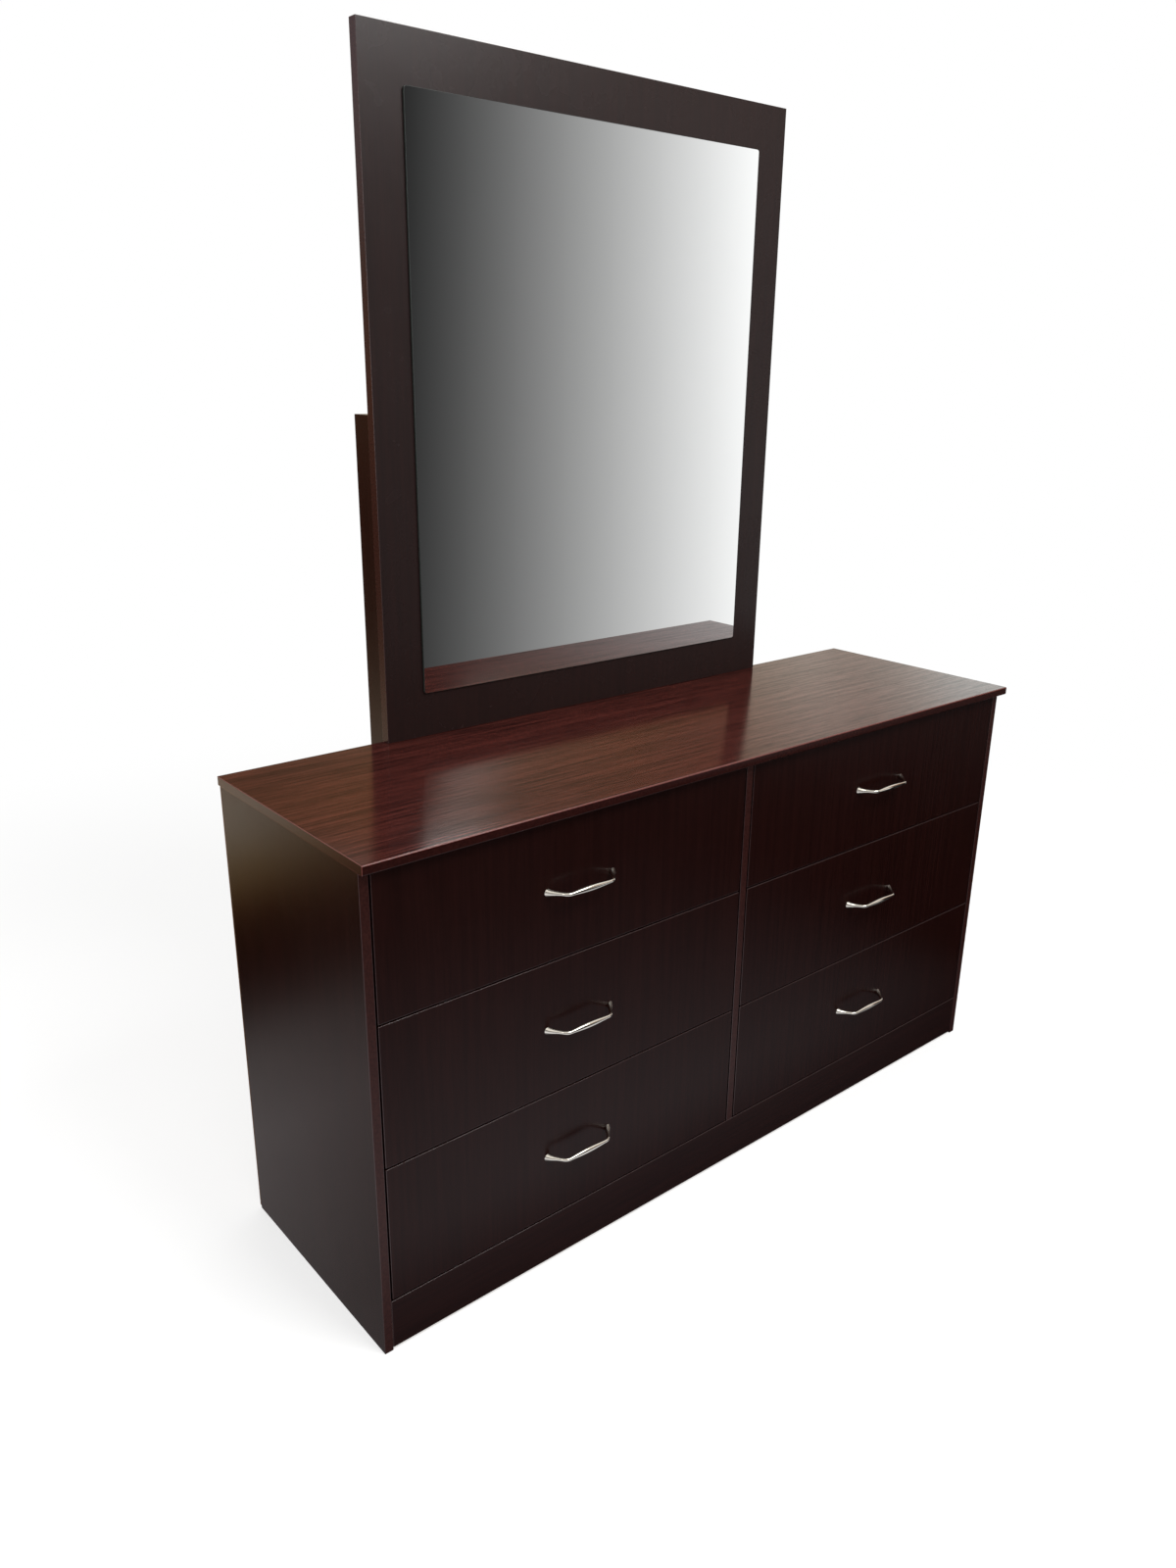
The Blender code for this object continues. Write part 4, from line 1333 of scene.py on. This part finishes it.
def handle_tree():
    tree, given = new_group(
        "bow handle", "GeometryNodeTree",
        {"Path": "shape", "Rings": "count", "Sides": "count", "Bend": "number", "Leg": "number",
         "Foot": "number", "Waist": "number", "Bar": "number", "Flatness": "number", "Finish": "finish"},
        {"Piece": "shape"},
    )
    line = add(tree, "GeometryNodeMeshToCurve", {"Mesh": given["Path"]})[0]
    rounding = {"Curve": line, "Count": BEND_STEPS, "Radius": given["Bend"], "Limit Radius": True}
    line = add(tree, "GeometryNodeFilletCurve", rounding, mode="POLY")[0]
    length = add(tree, "GeometryNodeCurveLength", {"Curve": line})[0]
    cells = {"Size X": 1.0, "Size Y": 1.0, "Vertices X": given["Rings"], "Vertices Y": given["Sides"] + 1.0}
    grid = add(tree, "GeometryNodeMeshGrid", cells)[0]
    spot = split(add(tree, "GeometryNodeInputPosition")[0])
    turn = (spot[1] + 0.5) * math.tau
    rows = given["Rings"] - 1.0
    row = (spot[0] + 0.5) * rows
    share = remap(row, 1.0, rows - 1.0)
    open_ring = maths("GREATER_THAN", maths("MINIMUM", row, rows - row), 0.5)
    sample = add(tree, "GeometryNodeSampleCurve", {"Curves": line, "Factor": share}, mode="FACTOR")
    along = share * length
    near = maths("MINIMUM", along, length - along)
    leg = remap(near, 0.0, given["Leg"])
    bar = remap(near, given["Leg"] + given["Bend"] * BEND_SHARE, length * 0.5)
    flare = (1.0 - leg) ** FLARE_POWER
    swell = maths("SINE", bar * (math.pi / 2)) ** SWELL_POWER
    foot = (given["Foot"] - given["Waist"]) * flare
    thick = (given["Bar"] - given["Waist"]) * swell
    radius = (given["Waist"] + (foot + thick)) * 0.5 * open_ring
    squeeze = 1.0 - swell * (1.0 - given["Flatness"])
    way = split(sample["Tangent"])
    tilt_x = way[1] * -1.0
    tilt = combined(tilt_x, way[0])
    level = combined(maths("SIGN", tilt_x))
    flat = remap(leg, 0.0, FOOT_SHARE, 1.0, 0.0)
    across = add(tree, "ShaderNodeMix", {0: flat, 4: tilt, 5: level}, data_type="VECTOR")[1]
    across = vectors("NORMALIZE", across)[0]
    sideways = radius * squeeze * maths("COSINE", turn)
    upwards = radius * maths("SINE", turn)
    out = add(tree, "ShaderNodeVectorMath", {0: across, "Scale": sideways}, operation="SCALE")[0]
    place = vectors("ADD", sample["Position"], vectors("ADD", out, combined(z=upwards))[0])[0]
    shape = add(tree, "GeometryNodeSetPosition", {"Geometry": grid, "Position": place})[0]
    shape = add(tree, "GeometryNodeMergeByDistance", {"Geometry": shape, "Distance": HANDLE_WELD})[0]
    end_tree(shaded(shape, HANDLE_SHARP), given["Finish"])
    return tree


HANDLE_TREE = handle_tree()
print("nodes in the handle's tree", len(HANDLE_TREE.nodes))

# %% [markdown]
# The handle's outer size comes from its solid. The path starts at the middle of one foot, leans in to a
# corner, runs along the bar and comes back.

# %% Handles
LEG_RUN = 0.020
HANDLE_BEND = 0.014
WAIST = 0.0058
BAR = 0.0100
BAR_FLATNESS = 0.85
RINGS = 120
RING_SIDES = 32


def make_handle(name):
    low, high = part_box(f"{name}_handle")
    foot = high.z - low.z
    first, last = low.x + foot / 2, high.x - foot / 2
    crest = low.y + BAR * BAR_FLATNESS / 2
    middle = (low.z + high.z) / 2
    path = [(first, high.y, middle), (first + LEG_RUN, crest, middle), (last - LEG_RUN, crest, middle),
            (last, high.y, middle)]
    reach = high.y - crest
    splay = math.atan2(reach, LEG_RUN)
    leg = reach / math.sin(splay) - HANDLE_BEND * math.tan(splay / 2)
    settings = {"Rings": RINGS, "Sides": RING_SIDES, "Bend": HANDLE_BEND, "Leg": leg, "Foot": foot,
                "Waist": WAIST, "Bar": BAR, "Flatness": BAR_FLATNESS, "Finish": plated}
    places = [(point, (0.0, 0.0, 1.0)) for point in path]
    shape = grow(HANDLE_TREE, places, settings, edges=[(0, 1), (1, 2), (2, 3)])
    add_joined(f"{name}_bow_handle", [shape], plated, f"{name}_drawer", [f"{name}_handle"])
    return len(shape.polygons)


print("faces of each handle", [make_handle(drawer) for drawer in DRAWERS])

# %% [markdown]
# ## Solids that stay
#
# The back panel and the six drawer bottoms are plain sheets, and their solids are already right. They
# only get their finish.

# %% Solids that stay
def finish_solid(node, finish):
    mesh = frame["nodes"][node].data
    mesh.materials.clear()
    mesh.materials.append(finish)


finish_solid("back_panel", back_hardboard)
for drawer in DRAWERS:
    finish_solid(f"{drawer}_drawer_bottom", bottom_hardboard)

# %% [markdown]
# ## Floor
#
# The piece stands on a plain pale floor in a white room. The floor takes its shadow, and away from the
# piece it fades into the same white as the background, so no horizon shows.
#
# The glossy boards see another floor. In the picture the side panel goes from a warm glow at its back
# edge to almost black and to grey below, and the fronts get darker to the right: that is a real floor
# with things standing about. Here a ramp of tones lies on the floor, one beside the piece and one in
# front of it, and only rays from a glossy surface meet it. Towards its rim it lets them through to the
# room, so that no edge shows in the mirror.

# %% Tone of the floor in reflections
FLOOR_RADIUS = 3.2
REFLECTED_REACH = 3.0
BESIDE = ((0.05, (0.34, 0.32, 0.32)), (0.21, (0.61, 0.57, 0.57)), (0.30, (0.44, 0.41, 0.40)),
          (0.37, (0.11, 0.09, 0.08)), (0.42, (0.015, 0.01, 0.005)), (0.50, (0.02, 0.01, 0.0)),
          (0.54, (0.11, 0.035, 0.0)), (0.59, (0.46, 0.27, 0.09)), (0.65, (0.82, 0.57, 0.27)),
          (0.74, (1.30, 1.12, 0.87)), (0.90, (1.50, 1.30, 1.05)))
BEFORE = ((0.00, (0.20, 0.20, 0.22)), (0.03, (0.39, 0.39, 0.42)), (0.07, (1.05, 1.05, 1.10)),
          (0.13, (0.98, 0.98, 1.03)), (0.20, (0.82, 0.82, 0.87)), (0.31, (0.44, 0.44, 0.47)),
          (0.40, (0.05, 0.04, 0.03)))
BRIGHT_LEFT, DARK_RIGHT = -0.3, 1.1


def floor_tone(place):
    """Tone by how far back of the dresser's front a place lies, or how far before it."""
    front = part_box("side_panel_left")[0].y
    parts = split(place)
    back = (parts["Y"] - front) / REFLECTED_REACH
    rightwards = remap(parts["X"], BRIGHT_LEFT, DARK_RIGHT, 1.0, 0.0)
    before = vectors("MULTIPLY", ramp(back * -1.0, BEFORE), rightwards)[0]
    return mix(maths("GREATER_THAN", back, 0.0), before, ramp(back, BESIDE))


print("tones beside and before", len(BESIDE), len(BEFORE))

# %% [markdown]
# The floor's own shader is matt. For the camera it is lifted a little towards white. Other rays don't
# meet the lift, so it doesn't light the piece from below.

# %% Floor
FLOOR_LIFT = 0.48
FADE = (1.6, 3.0)
RIM_START = 2.6
FLOOR_SIDES = 96
WHITE = (1.0, 1.0, 1.0)
BLACK = (0.0, 0.0, 0.0)


def glow(tree, colour, strength=1.0):
    return add(tree, "ShaderNodeEmission", {"Color": colour, "Strength": strength})[0]


def mix_shaders(share, first, second):
    return add(share.tree, "ShaderNodeMixShader", {0: share, 1: first, 2: second})[0]


def floor_finish():
    material, shader, place = new_finish("pale floor", Roughness=0.9, Specular_IOR_Level=0.0)
    tree = place.tree
    tone = noise(place, scale=3.0, detail=2.0)
    feed(shader, {"Base Color": mix(tone, (0.80, 0.80, 0.795), (0.82, 0.82, 0.815))})
    path = add(tree, "ShaderNodeLightPath")
    seen = maths("MAXIMUM", path["Is Camera Ray"], path["Is Transmission Ray"])
    lift = mix_shaders(seen, glow(tree, BLACK), glow(tree, WHITE, FLOOR_LIFT))
    lit = add(tree, "ShaderNodeAddShader", {0: Outputs(tree, shader)[0], 1: lift})[0]
    distance = vectors("LENGTH", place)["Value"]
    faded = mix_shaders(ease(distance, *FADE) * seen, lit, glow(tree, WHITE))
    through = add(tree, "ShaderNodeBsdfTransparent")[0]
    rim = ease(distance, RIM_START, FLOOR_RADIUS)
    mirrored = mix_shaders(rim, glow(tree, floor_tone(place)), through)
    answer = mix_shaders(path["Is Glossy Ray"], faded, mirrored)
    feed(tree.nodes["Material Output"], {"Surface": answer})
    return material


def make_floor():
    bm = bmesh.new()
    bmesh.ops.create_circle(bm, cap_ends=True, segments=FLOOR_SIDES, radius=FLOOR_RADIUS)
    mesh = built(bm, "floor")
    mesh.materials.append(floor_finish())
    floor = bpy.data.objects.new("floor", mesh)
    bpy.context.scene.collection.objects.link(floor)


make_floor()
print("floor radius", FLOOR_RADIUS)

# %% [markdown]
# ## The room
#
# The background is white. What the polished surfaces see is another matter: a real room is bright on one
# side and dark on the other, and the mirror shows that as a gradient from dark grey to white. So the
# world answers by the kind of ray: white for the camera, an even pale light for diffuse surfaces, and for
# reflections a room whose brightness changes with the direction.
#
# The glass, the fronts and the mirror board see the half of the room in front of the piece. Its wall
# carries the gradient of the glass. It is laid out across the way that the camera's own view takes when
# the mirror turns it back, so that it comes out even from left to right in the picture. Far to both
# sides the wall is a middle grey, which only other views see. Above the wall are the tones that the top
# takes where it is seen in the glass, after two reflections. A ramp by a direction that may be negative
# has its zero in the middle.

# %% The room before the piece
DARKEST = 0.12
SLOPE = 2.671
MIDDLE = 0.626
DISPLAY_POWER = 2.2
SILVER_SHARE = 0.93
LEAST_AHEAD = 0.05
RAMP_ZERO = 0.5
WALL_END = (0.135, 0.22)
WALL_REST = 0.05
ASIDE = (0.42, 0.80)
ASIDE_TONE = 0.5
WALL_FOOT = (-0.42, -0.27)
UPPER_FROM = (0.20, 0.27)
UPPER = ((0.378, (0.02, 0.01, 0.005)), (0.392, (0.74, 0.62, 0.54)), (0.408, (0.82, 0.70, 0.60)),
         (0.45, (0.44, 0.30, 0.18)), (0.54, (0.37, 0.22, 0.11)), (0.62, (0.37, 0.18, 0.11)))


def towards(direction, axis):
    """How far a direction points along an axis."""
    return vectors("DOT_PRODUCT", direction, axis)["Value"]


def room_before(direction, height):
    rightwards = towards(direction, (math.cos(HEADING), math.sin(HEADING), 0.0))
    ahead = towards(direction, (math.sin(HEADING) * math.cos(DIP), -math.cos(HEADING) * math.cos(DIP),
                                -math.sin(DIP)))
    across = rightwards / maths("MAXIMUM", ahead, LEAST_AHEAD)
    shade = remap(maths("MULTIPLY_ADD", across, SLOPE, MIDDLE), DARKEST, 1.0, DARKEST, 1.0)
    wall = shade ** DISPLAY_POWER / SILVER_SHARE * ease(across, *WALL_END, 1.0, WALL_REST)
    aside = ease(maths("ABSOLUTE", across), *ASIDE, 0.0, ASIDE_TONE)
    wall = maths("MAXIMUM", wall, aside) * ease(height, *WALL_FOOT, WALL_REST, 1.0)
    return mix(ease(height, *UPPER_FROM), wall, ramp(rightwards + RAMP_ZERO, UPPER))


print("tones of the upper wall", len(UPPER))

# %% [markdown]
# The top sees the half of the room behind the piece: its sheen is bright at the right and in a band at
# the left, with a dark stretch between, over the shadowed middle. Each part of it is a ramp by the
# direction's height or by how far it points east, which is to the right along the piece.

# %% The room behind the piece
FAR_BACK = ((0.70, (0.72, 0.56, 0.40)), (0.755, (1.13, 1.02, 0.88)), (0.78, (0.86, 0.76, 0.65)),
            (0.805, (1.16, 1.10, 0.98)), (0.83, (1.85, 1.95, 1.88)))
NEAR_BACK = ((0.70, (0.80, 0.70, 0.55)), (0.79, (0.20, 0.105, 0.035)), (0.83, (0.25, 0.145, 0.07)),
             (0.87, (0.48, 0.25, 0.10)), (0.90, (0.40, 0.20, 0.08)))
LEFT_BACK = ((0.22, (1.40, 1.00, 0.68)), (0.26, (0.38, 0.20, 0.10)), (0.30, (0.10, 0.035, 0.01)),
             (0.42, (0.22, 0.085, 0.035)), (0.48, (0.68, 0.33, 0.15)), (0.60, (0.42, 0.39, 0.30)),
             (0.71, (1.35, 1.24, 1.36)), (0.82, (0.54, 0.48, 0.46)))
NEAR_RISE = (0.35, 0.47, 0.8, 1.25)
FAR_FROM = (0.55, 0.66)
RIGHT_FROM = (-0.15, 0.15)


def room_behind(east, height):
    lift = height + RAMP_ZERO
    near = vectors("MULTIPLY", ramp(lift, NEAR_BACK), remap(east, *NEAR_RISE))[0]
    right = mix(remap(east, *FAR_FROM), near, ramp(east, FAR_BACK))
    return mix(remap(east, *RIGHT_FROM), ramp(lift, LEFT_BACK), right)


print("tones behind", len(FAR_BACK), len(NEAR_BACK), len(LEFT_BACK))

# %% [markdown]
# The two halves meet in the upright plane along the piece, and a pale ceiling closes them. The kind of
# ray then picks what the world answers.

# %% Room
CEILING_FROM = (0.43, 0.50)
CEILING = (0.95, 0.93, 0.90)
SOFT_LIGHT = 0.55


def background(tree, colour, strength=1.0):
    return add(tree, "ShaderNodeBackground", {"Color": colour, "Strength": strength})[0]


def make_room():
    world = bpy.data.worlds.new("room")
    world.use_nodes = True
    tree = world.node_tree
    tree.nodes.clear()
    direction = add(tree, "ShaderNodeTexCoord")["Generated"]
    east, north, height = (towards(direction, axis) for axis in ((1, 0, 0), (0, 1, 0), (0, 0, 1)))
    behind = maths("GREATER_THAN", north, 0.0)
    level = mix(behind, room_before(direction, height), room_behind(east, height))
    level = mix(ease(height, *CEILING_FROM), level, CEILING)
    path = add(tree, "ShaderNodeLightPath")
    seen = maths("MAXIMUM", path["Is Camera Ray"], path["Is Transmission Ray"])
    soft = background(tree, WHITE, SOFT_LIGHT)
    reflected = mix_shaders(path["Is Glossy Ray"], soft, background(tree, level))
    answer = mix_shaders(seen, reflected, background(tree, WHITE))
    add(tree, "ShaderNodeOutputWorld", {"Surface": answer})
    bpy.context.scene.world = world


make_room()
print("room", bpy.context.scene.world.name)

# %% [markdown]
# ## Lamps
#
# A large soft lamp high in front of the piece gives the main light and the sheen on the upper part of
# the mirror board. A weaker one on the left keeps the side panel from going black.

# %% Lamps
def make_lamp(name, place, aim, size, power):
    data = bpy.data.lights.new(name, "AREA")
    data.shape = "RECTANGLE"
    data.size, data.size_y = size
    data.energy = power
    lamp = bpy.data.objects.new(name, data)
    lamp.visible_camera = False
    bpy.context.scene.collection.objects.link(lamp)
    way = Vector(aim) - Vector(place)
    lamp.matrix_world = Matrix.Translation(place) @ way.to_track_quat("-Z", "Y").to_matrix().to_4x4()


make_lamp("key lamp", place=(0.4, -1.9, 2.87), aim=(0.0, 0.0, 1.0), size=(1.8, 0.9), power=41.0)
make_lamp("fill lamp", place=(-2.6, -0.6, 1.6), aim=(0.0, 0.0, 0.6), size=(1.2, 1.2), power=15.0)
bpy.context.scene.view_settings.view_transform = "Standard"
